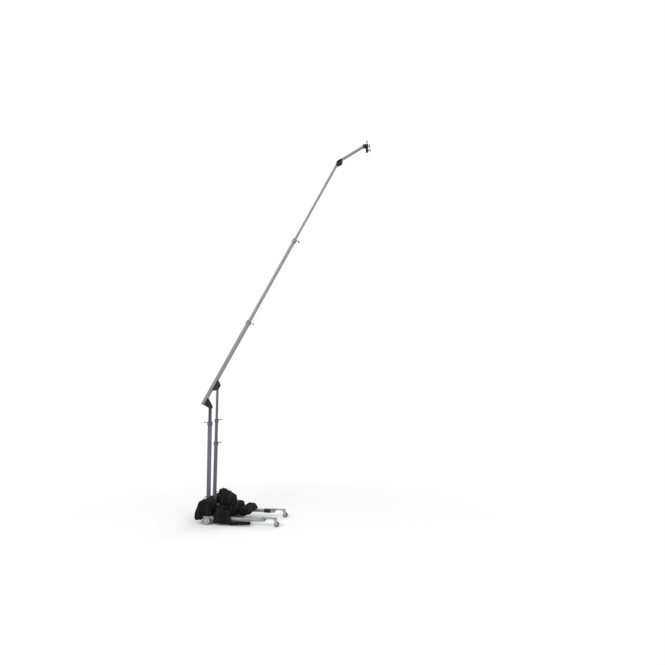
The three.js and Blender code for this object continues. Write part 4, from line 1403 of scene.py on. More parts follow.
@dataclass
class RearWheel:
    """A rear wheel: a cast rim with a webbed disc and a solid ribbed tyre."""

    word: str
    body: str
    radius: float = 75 * MM
    width: float = 42 * MM
    tyre: float = 17 * MM
    hub: float = 20 * MM
    bore: float = 10.3 * MM
    spokes: int = 6
    ribs: int = 60

    def build(self) -> None:
        """Builds the rim, its webs and the tyre."""
        place = Place(centre_of(f"rear_wheel_{self.word}"))
        rim, half, hub = self.radius - self.tyre, self.width / 2, self.hub
        inside = rim - 10 * MM
        web, edge, c = 3.6 * MM, 16.4 * MM, 1.2 * MM
        cast = [(self.bore, -half), (hub - c, -half), (hub, -half + c)]
        cast += [(hub + 1.5 * MM, -web - 3 * MM), (hub + 5 * MM, -web), (inside - 4 * MM, -web)]
        cast += [(inside, -web - 4 * MM), (inside + 1 * MM, -edge)]
        cast += [(rim - c, -edge - 0.4 * MM), (rim, -edge + c)]
        form = Form().turned(mirrored(cast), "y", 72)
        mesh = form.mesh(place)
        name = f"rear_wheel_{self.word}"
        piece(f"{name}_cast", mesh, Finishes.wheel_alloy, self.body, [name])
        self.set_webs(place, inside, web)
        self.mould_tyre(place)

    def set_webs(self, place: Place, inside: float, web: float) -> None:
        """Sets the ribs between hub and rim on both sides of the disc.

        Args:
            place: The wheel's place.
            inside: The radius where the rim starts.
            web: Half of the disc's thickness.
        """
        middle = (self.hub + inside) / 2
        half, tall = (inside - self.hub + 1 * MM) / 2, 11 * MM
        outline = [(middle - half, 0), (middle + half, 0), (middle + half, tall * 0.9)]
        outline += [(middle, tall * 0.6), (middle - half, tall)]
        lift = Matrix.Translation((0, 0, web - 0.5 * MM))
        for side, word in SIDES:
            form = Form()
            onto = Matrix.Rotation(-side * math.pi / 2, 4, "X")
            for i in range(self.spokes):
                rib = Form().plate(outline, 5 * MM)
                turn = Matrix.Rotation(2 * math.pi * i / self.spokes, 4, "Y")
                rib.bm.transform(turn @ onto @ lift)
                form.bm.from_mesh(to_mesh(rib.bm, "rib"))
            mesh = form.mesh(place, width=1.1 * MM)
            piece(f"rear_wheel_{self.word}_ribs_{word}", mesh, Finishes.wheel_alloy, self.body)

    def mould_tyre(self, place: Place) -> None:
        """Moulds the tyre with rounded shoulders, grooves and side ribs.

        Args:
            place: The wheel's place.
        """
        seat, half = self.radius - self.tyre + 0.8 * MM, self.width / 2
        groove, floor = 1.6 * MM, self.radius - 2.4 * MM
        r = self.radius
        shoulder = [(seat, -half + 1 * MM), (seat + 5 * MM, -half), (r - 9 * MM, -half)]
        shoulder += [(r - 4.5 * MM, -half + 2.5 * MM), (r - 1.2 * MM, -half + 7 * MM)]
        grooves = []
        for y in (-9 * MM, 0, 9 * MM):
            grooves += [(r, y - groove - 0.6 * MM), (floor, y - groove)]
            grooves += [(floor, y + groove), (r, y + groove + 0.6 * MM)]
        form = Form().turned(mirrored(shoulder, *grooves), "y", 96)
        name = f"rear_tyre_{self.word}"
        piece(f"{name}_moulded", form.mesh(place, sharp=40), Finishes.tyre, self.body, [name])
        wheel = Place(place.origin, ACROSS, UP)
        size = (3.2 * MM, 1.4 * MM, 9 * MM)
        for side, word in SIDES:
            circle = Path.circle(wheel, self.radius - 5.6 * MM, side * (half - 4 * MM), 96)
            gap = 2 * math.pi * (self.radius - 5.6 * MM) / self.ribs
            ribs = f"{name}_shoulder_ribs_{word}"
            repeats.set_out(ribs, self.body, Bead.BLOCK, [circle], size, Finishes.tyre, gap)


@dataclass
class Caster:
    """A swivel caster: a pressed yoke, its race and a solid grey wheel."""

    word: str
    radius: float = 50 * MM
    half: float = 16 * MM
    hub: float = 14 * MM
    bore: float = 5.3 * MM
    rim: float = 40 * MM
    cheek: float = 23.2 * MM

    def build(self) -> None:
        """Builds the yoke and the wheel."""
        letter = self.word[0]
        yoke, wheel = f"caster_yoke_{self.word}", f"caster_wheel_{self.word}"
        dressed(yoke, Finishes.zinc, f"caster_{letter}", 0.9 * MM)
        place = Place(centre_of(wheel))
        r, h, dish, c = self.radius, self.half, 9.6 * MM, 1 * MM
        tyre = [(self.rim, -h + c), (self.rim + c, -h), (r - 5 * MM, -h)]
        tyre += [(r - 1.6 * MM, -h + 2.2 * MM), (r - 0.3 * MM, -h + 6 * MM)]
        body = f"caster_wheel_{letter}"
        tread = Form().turned(mirrored(tyre, (r, 0)), "y", 72).mesh(place, sharp=40)
        piece(f"{wheel}_tread", tread, Finishes.caster_tread, body)
        hub, rim = self.hub, self.rim
        centre = [(self.bore, -h), (hub - c, -h), (hub, -h + c), (hub + 2 * MM, -dish - 1 * MM)]
        centre += [(hub + 4 * MM, -dish), (rim - 4 * MM, -dish), (rim - 1 * MM, -dish - 2 * MM)]
        centre.append((rim, -h + 2 * c))
        core = Form().turned(mirrored(centre), "y", 60).mesh(place)
        piece(f"{wheel}_centre", core, Finishes.caster_centre, body, [wheel])
        axle = Place(place.origin, ACROSS, UP)
        for side, end in SIDES:
            circle = Path.circle(axle, (self.hub + self.rim) / 2, side * dish, 48)
            size = (5 * MM, 14 * MM, 4 * MM)
            out = Path.straight(circle.points, ACROSS * side, True)
            gap = math.pi * (self.hub + self.rim) / 8
            name, finish = f"{wheel}_ribs_{end}", Finishes.caster_centre
            repeats.set_out(name, body, Bead.BLOCK, [out], size, finish, gap)
            nut = [place.origin + ACROSS * side * self.cheek]
            bolts(f"caster_nut_{self.word}_{end}", nut, ACROSS * side, 15 * MM, f"caster_{letter}")


@dataclass
class Mast:
    """The upright tubes and the collar between them."""

    edge: float = 2.2 * MM
    outer: float = 63.5 * MM

    def build(self) -> None:
        """Dresses the tubes and builds the collar."""
        upright = alloy("mast", math.pi / 2, Alloy.MAST)
        inner = alloy("mast_core", math.pi / 2, Alloy.MAST_CORE)
        dressed("mast_outer", upright, "base", self.edge)
        dressed("mast_inner", inner, "mast_slider", self.edge)
        line, finish = skeleton.mast, Finishes.dark_collar
        ClampCollar("mast_collar", "base", line, self.outer, finish).build()


@dataclass
class Boom:
    """The three boom tubes with their collars, gussets, bolts and shoes."""

    edge: float = 2.2 * MM
    outer: float = 63.5 * MM
    middle: float = 50.8 * MM
    drop: float = 158 * MM

    def build(self) -> None:
        """Dresses the tubes and builds what they carry."""
        slope = math.atan2(skeleton.boom_line.z, skeleton.boom_line.x)
        slanted = alloy("boom", slope, Alloy.BOOM)
        dressed("boom_outer", slanted, "boom", self.edge)
        dressed("boom_mid", slanted, "boom_middle", self.edge)
        dressed("boom_tip", slanted, "boom_front", self.edge)
        dressed("boom_mid_shoe", Finishes.nylon, "boom_middle", 0.8 * MM)
        dressed("boom_tip_shoe", Finishes.nylon, "boom_front", 0.8 * MM)
        dressed("boom_end_cap", Finishes.plastic, "boom", 1.6 * MM)
        line = skeleton.boom.moved(z=self.drop)
        for word, body, size in (
            ("rear", "boom", self.outer), ("front", "boom_middle", self.middle)
        ):
            ClampCollar(f"boom_collar_{word}", body, line, size, Finishes.grey_collar).build()
        self.fold_gussets()
        self.pin_pivots()

    def fold_gussets(self) -> None:
        """Dresses the folded gussets and lays the beads that hold them to the tube."""
        for node in ("rear_gusset", "front_gusset"):
            dressed(node, Finishes.black_steel, "boom", 1.8 * MM)
            low, high = span(node, skeleton.boom)
            paths = []
            for side in (-1, 1):
                y = side * (min(high.y, self.outer / 2) - 0.4 * MM)
                ends = [skeleton.boom.at(x=x, y=y, z=high.z) for x in (low.x, high.x)]
                out = skeleton.boom.matrix().to_3x3() @ Vector((0, side, 0.4))
                paths.append(Path.straight(ends, out))
            weld(f"{node}_weld", paths, 4.5 * MM, Finishes.black_steel, "boom", seed=5)

    def pin_pivots(self) -> None:
        """Builds the bolts of the mast's and the strut's pivots."""
        for node in ("mast_pivot_bolt", "strut_pivot_bolt"):
            CrossBolt(radius=7 * MM, head=12 * MM, height=8 * MM).build(node, "boom")


@dataclass
class Nose:
    """The knuckle, the nose tube, the head at its tip and the receiver under the head."""

    edge: float = 1.8 * MM
    tube: float = 38.1 * MM
    wall: float = 3 * MM
    cheek: float = 76 * MM
    plate: float = 6 * MM
    heel: float = 90 * MM
    mouth: float = 34 * MM
    seat: float = 0.3 * MM
    bend: float = math.radians(32)
    rise: float = math.radians(28.5)

    def build(self) -> None:
        """Dresses the tube and plates and builds the turned parts."""
        satin = alloy("nose", self.rise, Alloy.BOOM)
        dressed("nose_tube", satin, "nose", self.edge)
        self.cut_knuckle()
        slim = CrossBolt(radius=5 * MM, head=9 * MM, height=5 * MM)
        slim.build("knuckle_bolt", "boom_front")
        dressed("head_block", Finishes.black_steel, "head", self.edge)
        CrossBolt(radius=6 * MM, head=11 * MM, height=7 * MM).build("head_bolt", "head")
        self.clamp_knuckle()
        for node in ("head_knob", "receiver_screw", "swivel_knob"):
            Knob(node).build()
        self.turn_receiver()
        rear = Place(skeleton.nose.at(x=-22 * MM), -skeleton.nose.x)
        Plug().build("nose_plug", "nose", rear, (self.tube, self.tube), self.wall)

    def cut_knuckle(self) -> None:
        """Cuts the knuckle's two plates and the web that joins them under the boom's tip."""
        lift, inner = self.tube / 2, self.tube / 2 + self.seat
        under = -inner - self.plate
        start = math.pi + math.asin(-under / self.cheek)
        end = 2 * math.pi + math.asin(lift / self.cheek) - self.bend
        steps = 48
        turns = [start + (end - start) * i / steps for i in range(steps + 1)]
        outline = [(self.cheek * math.cos(a), self.cheek * math.sin(a)) for a in turns]
        outline += [(lift * math.tan(self.bend / 2), lift), (-self.heel, lift), (-self.heel, under)]
        web = [
            (-self.heel, under), (-self.mouth, under), (-self.mouth, -inner), (-self.heel, -inner)
        ]
        form = Form().plate(web, 2 * inner)
        for side in (-1, 1):
            form.plate(outline, self.plate, side * (inner + self.plate / 2))
        place = Place(skeleton.pivot("nose_bend"), skeleton.boom_line)
        mesh = form.mesh(place, self.edge)
        nodes = ["knuckle_bracket"]
        piece("knuckle_plates", mesh, Finishes.black_steel, "boom_front", nodes)

    def clamp_knuckle(self) -> None:
        """Builds the knuckle's clamp with the nut on its far side."""
        knob = Knob("knuckle_knob")
        knob.build()
        place = knob.place()
        flats = [(0, 0), (9.6 * MM, 0), (11 * MM, 1.4 * MM), (11 * MM, 10 * MM), (0, 10 * MM)]
        form = Form().turned(flats, "x", 6).rod(10.6 * MM, (9.2 * MM, 11 * MM), "x", 32)
        nut = place.moved(x=0.2 * MM)
        piece("knuckle_nut", form.mesh(nut), Finishes.zinc, knob.body)

    def turn_receiver(self) -> None:
        """Turns the receiver with its flange, bore, boss and cap."""
        place, body, finish = skeleton.receiver, "receiver_swivel", Finishes.black_steel
        low, high = span("receiver", place)
        top, cap = -26.3 * MM, high.x
        base = low.x
        c = 1.2 * MM
        form = Form()
        form.turned(
            [
                (0, cap), (16.4 * MM, cap), (18 * MM, cap - 1.6 * MM), (18 * MM, 27.6 * MM),
                (17 * MM, 26.3 * MM), (12 * MM, 26.3 * MM), (12 * MM, top), (30 * MM - c, top),
                (30 * MM, top - c), (30 * MM, top - 9 * MM + c), (30 * MM - c, top - 9 * MM),
                (24 * MM, top - 9 * MM), (23 * MM, top - 10.5 * MM), (23 * MM, base + 14 * MM),
                (22.2 * MM, base + 13 * MM), (22.2 * MM, base + 9 * MM), (23 * MM, base + 8 * MM),
                (23 * MM, base + c), (23 * MM - c, base), (16 * MM, base),
                (14.5 * MM, base + 1.5 * MM), (14.5 * MM, base + 66 * MM), (0, base + 66 * MM)
            ],
            "x", 56
        )
        piece("receiver_turned", form.mesh(place), finish, body, ["receiver"])
        level = base + 33 * MM
        boss = Place(place.origin + UP * level, LEVEL)
        ring = Form().turned(
            [
                (6.5 * MM, 20 * MM), (13 * MM, 20 * MM), (13 * MM, 34 * MM), (12 * MM, 35 * MM),
                (6.5 * MM, 35 * MM)
            ]
        )
        piece("receiver_boss", ring.mesh(boss), finish, body)
        circle = Path.circle(place, 29.6 * MM, top - 4.5 * MM, 80)
        size = (1.6 * MM, 6 * MM, 1.6 * MM)
        name, gap = "receiver_knurl", 2.9 * MM
        repeats.set_out(name, body, Bead.BLOCK, [circle], size, finish, gap)


@dataclass
class Strut:
    """The telescoping strut that keeps the boom's angle."""

    edge: float = 2 * MM

    def build(self) -> None:
        """Dresses the tubes and builds the collars and the foot pin."""
        upright = alloy("strut", math.pi / 2, Alloy.STRUT)
        dressed("strut_upper", upright, "strut_top", self.edge)
        dressed("strut_mid", upright, "strut_middle", self.edge)
        dressed("strut_lower", upright, "strut_foot", self.edge)
        for word, body, size in (
            ("upper", "strut_middle", 47 * MM), ("lower", "strut_foot", 56 * MM)
        ):
            node, line = f"strut_collar_{word}", skeleton.strut
            ClampCollar(node, body, line, size, Finishes.dark_collar).build()
        place = Place(centre_of("strut_foot_pin"))
        reach = span("strut_foot_pin", place)[1].y
        pin = Form().rod(8 * MM, (-reach, reach), sides=36, chamfer=1 * MM).mesh(place)
        piece("strut_foot_pin_turned", pin, Finishes.zinc, "strut_foot", ["strut_foot_pin"])


@dataclass
class RollingGear:
    """The rear wheels and the casters."""

    def build(self) -> None:
        """Builds every wheel."""
        for word in ("left", "right"):
            RearWheel(word, f"rear_wheel_{word[0]}").build()
            Caster(word).build()


# Ballast


def lifted(spot: Vector, out: Vector, lift: float) -> Vector:
    """The place above a spot."""
    return spot + out * lift


class Sweep:
    """Bands and cords that follow a path on a soft surface."""

    def __init__(
        self, points: Sequence[Vector], outward: Sequence[Vector], closed: bool,
        settle: Callable[[Vector, Vector, float], Vector] = lifted
    ) -> None:
        """Finds the directions at each point.

        Args:
            points: The path.
            outward: The direction out of the surface at each point.
            closed: Whether the path meets itself.
            settle: Gives a point's place from a spot, the way out and how high it lies.
        """
        self.points, self.outward, self.closed = list(points), list(outward), closed
        self.settle = settle
        self.frames = []
        count = len(points)
        for i, point in enumerate(points):
            before = points[(i - 1) % count] if closed or i else point
            after = points[(i + 1) % count] if closed or i < count - 1 else point
            tangent = (after - before).normalized()
            side = tangent.cross(outward[i]).normalized()
            self.frames.append((side, side.cross(tangent).normalized()))

    def mesh(self, section: Points) -> Mesh:
        """Sweeps a section along the path.

        Args:
            section: A closed outline as places to the side and outward.

        Returns:
            The swept mesh.
        """
        rings = []
        for point, (side, out) in zip(self.points, self.frames):
            rings.append([self.settle(point + side * a, out, b) for a, b in section])
        return Form().rings(rings, self.closed).mesh(Place(Vector()), sharp=50)

    def line(self, side: float, lift: float) -> Path:
        """A path beside this one, such as a row of stitches on a band.

        Args:
            side: How far beside it.
            lift: How high above it.

        Returns:
            The path.
        """
        pairs = list(zip(self.points, self.frames))
        points = [self.settle(point + across * side, out, lift) for point, (across, out) in pairs]
        return Path(points, [out for _, (_, out) in pairs], self.closed)


class Around(Enum):
    """The direction that a ring round a bag is drawn across."""

    LENGTH = 0
    WIDTH = 1


@dataclass
class BallastBag:
    """A stuffed cloth bag with piped seams, two bands of webbing and a carrying handle."""

    node: str
    seed: int
    bands: Around = Around.LENGTH
    band_shares: tuple[float, ...] = (0.28, 0.72)
    handle: bool = True
    shrink: float = 7 * MM
    voxel: float = 11 * MM
    travel: float = 15 * MM
    proud: float = 7 * MM
    crease: float = 4.6 * MM
    webbing: float = 38 * MM
    thick: float = 2.4 * MM
    piping: float = 2.8 * MM
    clear: float = 0.4 * MM
    step: float = 7 * MM
    inset: float = 20 * MM
    arch: float = 34 * MM
    sway: float = 60 * MM
    seams: Around = Around.WIDTH

    def start(self) -> None:
        """Makes the slightly smaller even mesh that is swollen."""
        self.low, self.high = extent(self.node)
        self.middle, self.size = (self.low + self.high) / 2, self.high - self.low
        form = bare_mesh(self.node)
        bmesh.ops.triangulate(form, faces=form.faces)
        for vertex in form.verts:
            for i in range(3):
                share = 1 - 2 * self.shrink / self.size[i]
                vertex.co[i] = self.middle[i] + (vertex.co[i] - self.middle[i]) * share
        obj = linked("work", to_mesh(form, f"{self.node}_cut"))
        remesh = obj.modifiers.new("even", "REMESH")
        remesh.mode = "VOXEL"
        remesh.voxel_size = self.voxel
        self.cloth = linked("work", baked(obj))
        self.origins = [vertex.co.copy() for vertex in self.cloth.data.vertices]

    def stuff(self) -> None:
        """Gives the mesh the cloth that is blown up from inside."""
        cloth = self.cloth.modifiers.new("stuffing", "CLOTH")
        settings = cloth.settings
        settings.quality = 6
        settings.mass = 0.4
        settings.tension_stiffness = 12
        settings.compression_stiffness = 8
        settings.shear_stiffness = 5
        settings.bending_stiffness = 0.9
        settings.use_pressure = True
        settings.uniform_pressure_force = 4
        settings.effector_weights.gravity = 0
        cloth.point_cache.frame_start = 1
        cloth.point_cache.frame_end = CLOTH_STEPS
        cloth.collision_settings.use_collision = False

    def settle(self) -> None:
        """Takes the swollen shape, holds it to its place and finishes its surface."""
        mesh = baked(self.cloth)
        for vertex, origin in zip(mesh.vertices, self.origins):
            moved = vertex.co - origin
            if moved.length > self.travel:
                moved *= self.travel / moved.length
            vertex.co = self.held(origin + moved)
        obj = linked("work", mesh)
        smooth = obj.modifiers.new("soft", "SUBSURF")
        smooth.levels = smooth.render_levels = 1
        mesh = baked(obj)
        self.wrinkle(mesh)
        shade(mesh, 180)
        self.mesh = mesh
        self.tree = BVHTree.FromPolygons(
            [vertex.co for vertex in mesh.vertices], [tuple(p.vertices) for p in mesh.polygons]
        )
        skin = piece(f"{self.node}_skin", mesh, Finishes.cloth, "base", [self.node])

    def held(self, place: Vector) -> Vector:
        """Keeps a point of the cloth in the bag's own space and off the deck.

        Args:
            place: The point.

        Returns:
            The nearest place for it.
        """
        for i in range(3):
            top = self.high[i] + (self.proud if i == 2 else -self.clear)
            place[i] = min(max(place[i], self.low[i] + self.clear), top)
        return self.off_deck(place)

    def off_deck(self, place: Vector) -> Vector:
        """Moves a point out of the deck and off the floor of the bag's space.

        Args:
            place: The point, which is changed.

        Returns:
            The point.
        """
        deck = extent("deck_plate")[1]
        over, beside = deck.z + self.clear, deck.y + self.clear
        place.z = max(place.z, self.low.z + self.clear)
        if abs(place.y) < beside and place.z < over:
            if over - place.z < beside - abs(place.y):
                place.z = over
            else:
                place.y = math.copysign(beside, place.y)
        return place

    def on(self, spot: Vector, out: Vector, lift: float) -> Vector:
        """The place at a height above the cloth nearest to a spot, clear of the deck."""
        near, normal = self.tree.find_nearest(spot)[:2]
        return self.off_deck(near + (normal + out).normalized() * lift)

    def wrinkle(self, mesh: Mesh) -> None:
        """Presses soft folds into the surface, deeper towards its edges.

        Args:
            mesh: The bag's skin.
        """
        shift = Vector((self.seed * 3.1, self.seed * 1.7, self.seed * 2.3))
        normals = [vertex.normal.copy() for vertex in mesh.vertices]
        for vertex, normal in zip(mesh.vertices, normals):
            place = vertex.co
            stretched = Vector((place.x * 9, place.y * 9, place.z * 22)) + shift
            broad = noise.noise(stretched * 0.6)
            fine = 1 - abs(noise.noise(stretched * 1.5 + shift)) * 2.6
            near = max(abs((place[i] - self.middle[i]) / self.size[i]) for i in range(3)) * 2
            depth = self.crease * (0.35 + 0.65 * near) * (0.9 * broad - 0.55 * max(fine, 0))
            vertex.co = self.held(place + normal * (depth if depth < 0 else depth * 0.4))

    def ring(self, around: Around, share: float) -> Sweep:
        """Finds a ring round the bag where a plane cuts the cloth.

        Args:
            around: The direction that the ring is drawn across.
            share: Where it lies along that direction.

        Returns:
            The ring, ready to be swept.
        """
        axis = around.value
        spot, across = Vector(), Vector()
        spot[axis] = self.low[axis] + share * self.size[axis]
        across[axis] = 1
        form = bmesh.new()
        form.from_mesh(self.mesh)
        whole = form.verts[:] + form.edges[:] + form.faces[:]
        cut = bmesh.ops.bisect_plane(form, geom=whole, plane_co=spot, plane_no=across)["geom_cut"]
        points = self.evened(self.walked([e for e in cut if isinstance(e, bmesh.types.BMEdge)]))
        form.free()
        outward = [self.tree.find_nearest(point)[1] for point in points]
        for _ in range(3):
            outward = [vector.normalized() for vector in self.averaged(outward)]
        return Sweep(points, outward, True, self.on)

    @staticmethod
    def walked(edges: Sequence[bmesh.types.BMEdge]) -> list[Vector]:
        """Walks along cut edges.

        Args:
            edges: The edges, in any order.

        Returns:
            The points of the longest loop that they make.
        """
        beside: dict[bmesh.types.BMVert, list[bmesh.types.BMVert]] = {}
        for edge in edges:
            first, last = edge.verts
            beside.setdefault(first, []).append(last)
            beside.setdefault(last, []).append(first)
        seen: set[bmesh.types.BMVert] = set()
        longest: list[Vector] = []
        for start in beside:
            loop, here = [], start
            while here is not None:
                seen.add(here)
                loop.append(here.co.copy())
                here = next((other for other in beside[here] if other not in seen), None)
            longest = max(longest, loop, key=len)
        return longest

    def evened(self, points: Sequence[Vector]) -> list[Vector]:
        """Sets points at even steps along a closed line and rounds off its jags.

        Args:
            points: The line's points.

        Returns:
            The new points.
        """
        ends = [*points[1:], points[0]]
        runs = [(end - start).length for start, end in zip(points, ends)]
        total = sum(runs)
        count = round(total / self.step)
        made, run, i = [], 0.0, 0
        for k in range(count):
            far = total * k / count
            while run + runs[i] < far:
                run += runs[i]
                i += 1
            share = (far - run) / runs[i] if runs[i] else 0
            made.append(points[i].lerp(ends[i], share))
        return self.averaged(self.averaged(made))

    @staticmethod
    def averaged(values: Sequence[Vector]) -> list[Vector]:
        """Averages each vector of a closed row with its neighbours."""
        count = len(values)
        return [(values[i - 1] + values[i] * 2 + values[(i + 1) % count]) / 4 for i in range(count)]

    def band_section(self) -> Points:
        """The outline of the webbing, with thinner edges.

        Returns:
            Places to the side and outward.
        """
        half, thick, edge = self.webbing / 2, self.thick, 1.2 * MM
        low, high = 0.2 * MM, 0.2 * MM + thick
        under = [(half * share, low) for share in (-1, -0.5, 0, 0.5, 1)]
        over = [
            (half - edge, high), (half / 2, high), (0, high), (-half / 2, high), (edge - half, high)
        ]
        return [*under, (half, low + thick * 0.3), *over, (-half, low + thick * 0.3)]

    def sew(self) -> None:
        """Adds the piped seams, the webbing, its stitches and the handle."""
        across = self.seams.value
        inset = max(0.09, self.inset / self.size[across])
        for share, word in ((inset, "near"), (1 - inset, "far")):
            seam = self.ring(self.seams, share)
            turns = [2 * math.pi * i / 8 for i in range(8)]
            round_section = [(self.piping * math.cos(a), self.piping * math.sin(a)) for a in turns]
            lying = [self.off_deck(point) for point in seam.points]
            mesh = Sweep(lying, seam.outward, True).mesh(round_section)
            piece(f"{self.node}_piping_{word}", mesh, Finishes.webbing, "base")
            rows = [seam.line(side, 0.2 * MM) for side in (-6 * MM, 6 * MM)]
            self.stitch(rows, f"{self.node}_seam_stitches_{word}")
        for i, share in enumerate(self.band_shares):
            band = self.ring(self.bands, share)
            mesh = band.mesh(self.band_section())
            piece(f"{self.node}_webbing_{i + 1}", mesh, Finishes.webbing, "base")
            edge = self.webbing / 2 - 4 * MM
            rows = [band.line(side, self.thick + 0.3 * MM) for side in (-edge, edge)]
            self.stitch(rows, f"{self.node}_webbing_stitches_{i + 1}")
        if self.handle:
            self.add_handle()

    def stitch(self, rows: Sequence[Path], name: str) -> None:
        """Sews rows of stitches."""
        size = (4.2 * MM, 1.1 * MM, 1 * MM)
        repeats.set_out(name, "base", Bead.BLOCK, rows, size, Finishes.thread, spacing=6.4 * MM)

    def add_handle(self) -> None:
        """Adds the carrying handle that lies over the bag's top between its bands."""
        axis = self.bands.value
        points, outward = [], []
        first, last = min(self.band_shares), max(self.band_shares)
        count = 40
        for i in range(count + 1):
            share = i / count
            spot = self.middle.copy()
            spot[axis] = self.low[axis] + (first + (last - first) * share) * self.size[axis]
            spot.z = self.high.z + 0.2
            hit = self.tree.ray_cast(spot, -UP)
            if hit[0] is None:
                continue
            rise = math.sin(math.pi * share)
            lean = Vector()
            lean[1 - axis] = 0.35 * rise
            points.append(hit[0] + UP * (self.thick + self.arch * rise) + lean * self.sway)
            outward.append((hit[1] + lean).normalized())
        for _ in range(3):
            points = [points[0], *self.averaged(points)[1:-1], points[-1]]
        strap = Sweep(points, outward, False)
        mesh = strap.mesh(self.band_section())
        piece(f"{self.node}_handle", mesh, Finishes.webbing, "base")
        edge = self.webbing / 2 - 4 * MM
        rows = [strap.line(side, self.thick) for side in (-edge, edge)]
        self.stitch(rows, f"{self.node}_handle_stitches")


@dataclass
class Ballast:
    """All the bags on the deck and the one that hangs beside it."""

    def build(self) -> None:
        """Makes the bags, blows them up together and sews on what they carry."""
        bags = [
            BallastBag("bag_rear_left", 1), BallastBag("bag_rear_right", 2),
            BallastBag("bag_lower", 3, handle=False), BallastBag("bag_upper", 4),
            BallastBag("bag_front", 5, Around.WIDTH, (0.3, 0.7)),
            BallastBag("bag_side", 6, band_shares=(0.16, 0.42), handle=False, voxel=9 * MM)
        ]
        for bag in bags:
            bag.start()
        for bag in bags:
            bag.stuff()
        scene = bpy.context.scene
        for step in range(1, CLOTH_STEPS + 1):
            scene.frame_set(step)
        for bag in bags:
            bag.settle()
            bag.sew()
        bpy.context.scene.frame_set(1)
        self.hang(bags[5])

    def hang(self, bag: BallastBag) -> None:
        """Hangs the side bag by two slings that run over the deck's edge.

        Args:
            bag: The side bag.
        """
        low, high = extent("deck_plate")
        deck, side = high.z, low.y
        for i, share in enumerate(bag.band_shares):
            x = bag.low.x + share * bag.size.x
            top = bag.tree.ray_cast(Vector((x, bag.middle.y, bag.high.z + 0.1)), -UP)[0]
            points = [
                Vector((x, top.y, top.z + 3 * MM)), Vector((x, top.y + 18 * MM, top.z - 2 * MM)),
                Vector((x, side + 4 * MM, top.z - 30 * MM)),
                Vector((x, side + 6 * MM, deck + 40 * MM)),
                Vector((x, side + 12 * MM, deck + 12 * MM)),
                Vector((x, side + 28 * MM, deck + 2 * MM)),
                Vector((x, side + 52 * MM, deck + 1.2 * MM))
            ]
            outward = [UP, UP + ACROSS, ACROSS, ACROSS, ACROSS + UP, UP, UP]
            mesh = Sweep(points, [o.normalized() for o in outward], False).mesh(bag.band_section())
            piece(f"bag_side_sling_{i + 1}", mesh, Finishes.webbing, "base")


# Studio


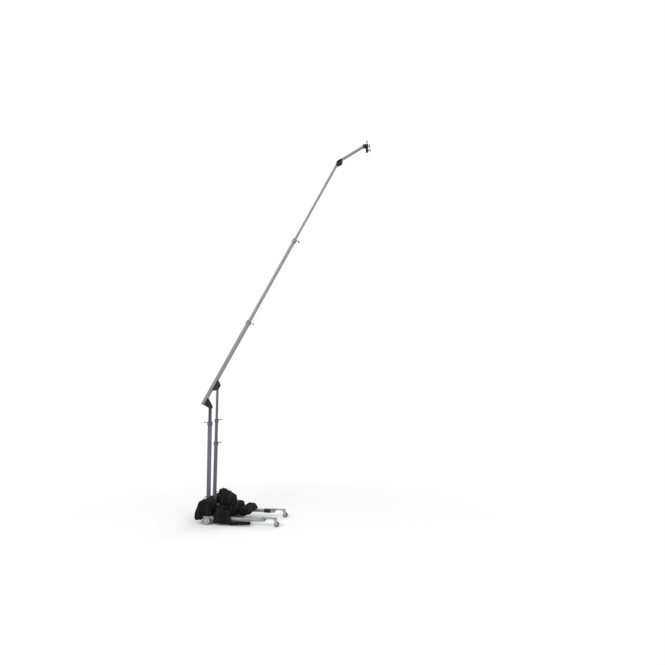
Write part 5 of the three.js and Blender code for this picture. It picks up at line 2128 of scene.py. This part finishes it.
@dataclass
class Studio:
    """The floor, the lights, the background and the camera."""

    camera_at: tuple[float, float, float] = (1.848, -7.187, 2.085)
    camera_turn: tuple[float, float, float] = (91.92, -0.46, 6.92)
    lens: float = 20.31
    sensor: float = 36.0
    shift: float = 0.105
    floor: float = 60.0
    pale: tuple[float, float, float] = (0.86, 0.86, 0.86)
    sky: float = 0.72

    def build(self) -> None:
        """Builds the studio."""
        self.lay_floor()
        self.light_world()
        self.add_light("key", (-6.5, -11.0, 11.0), 9.0, 1150)
        self.add_light("fill", (10.0, -7.0, 7.0), 9.0, 520)
        self.add_light("back", (3.0, 12.0, 10.0), 9.0, 420)
        self.set_camera()

    def seen(self, sheet: NodeSheet) -> Socket:
        """One where a camera, glossy or transmission ray looks, zero elsewhere.

        Args:
            sheet: The sheet that it goes on.

        Returns:
            The socket that gives it.
        """
        path = sheet.add("ShaderNodeLightPath")
        first = sheet.math("MAXIMUM", path.outputs["Is Camera Ray"], path.outputs["Is Glossy Ray"])
        return sheet.math("MAXIMUM", first, path.outputs["Is Transmission Ray"])

    def lay_floor(self) -> None:
        """Lays a pale floor that turns white away from the machine."""
        mesh = bpy.data.meshes.new("studio_floor")
        half = self.floor / 2
        corners = [(x, y, 0) for x, y in rectangle(half, half)]
        mesh.from_pydata(corners, [], [(0, 1, 2, 3)])
        material = bpy.data.materials.new("studio_floor")
        sheet = blank(material)
        place = sheet.add("ShaderNodeTexCoord").outputs["Object"]
        far = sheet.add("ShaderNodeVectorMath", {0: place}, operation="LENGTH").outputs["Value"]
        share = sheet.spread(far, 2.2, 5.0)
        share = sheet.math("MULTIPLY", share, self.seen(sheet))
        matt = sheet.out("ShaderNodeBsdfDiffuse", {"Color": rgba(self.pale)})
        white = sheet.out("ShaderNodeEmission", {"Color": WHITE, "Strength": 1.0})
        mixed = sheet.out("ShaderNodeMixShader", {0: share, 1: matt, 2: white})
        sheet.add("ShaderNodeOutputMaterial", {0: mixed})
        mesh.materials.append(material)
        linked("studio_floor", mesh)

    def light_world(self) -> None:
        """Lights the machine from all round and keeps the background white."""
        world = bpy.data.worlds.new("studio")
        bpy.context.scene.world = world
        sheet = blank(world)
        light, white = (
            sheet.out("ShaderNodeBackground", {"Color": WHITE, "Strength": strength})
            for strength in (self.sky, 1.0)
        )
        mixed = sheet.out("ShaderNodeMixShader", {0: self.seen(sheet), 1: light, 2: white})
        sheet.add("ShaderNodeOutputWorld", {0: mixed})

    @staticmethod
    def add_light(name: str, at: Sequence[float], size: float, power: float) -> None:
        """Adds a square soft light that faces the machine's middle.

        Args:
            name: The light's name.
            at: Where it stands.
            size: Its side.
            power: Its power in watts.
        """
        data = bpy.data.lights.new(name, "AREA")
        data.shape = "SQUARE"
        data.size = size
        data.energy = power
        light = linked(name, data)
        light.location = at
        aim = Vector((0, 0, 3.2)) - Vector(at)
        light.rotation_euler = aim.to_track_quat("-Z", "Y").to_euler()

    def set_camera(self) -> None:
        """Sets the camera at the photograph's viewing angle."""
        data = bpy.data.cameras.new("camera")
        data.lens, data.sensor_width, data.shift_y = self.lens, self.sensor, self.shift
        camera = linked("camera", data)
        camera.location = self.camera_at
        camera.rotation_euler = [math.radians(angle) for angle in self.camera_turn]
        bpy.context.scene.camera = camera
        bpy.context.scene.view_settings.view_transform = "Standard"


def main() -> None:
    """Builds the machine and its studio."""
    logging.basicConfig(level=logging.INFO, format="%(name)s: %(message)s")
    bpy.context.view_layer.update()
    for assembly in (
        BaseFrame(), RollingGear(), Mast(), Boom(), Strut(), Nose(), Ballast(), Studio()
    ):
        log.info("building %s", type(assembly).__name__)
        assembly.build()


if __name__ == "__main__":
    main()
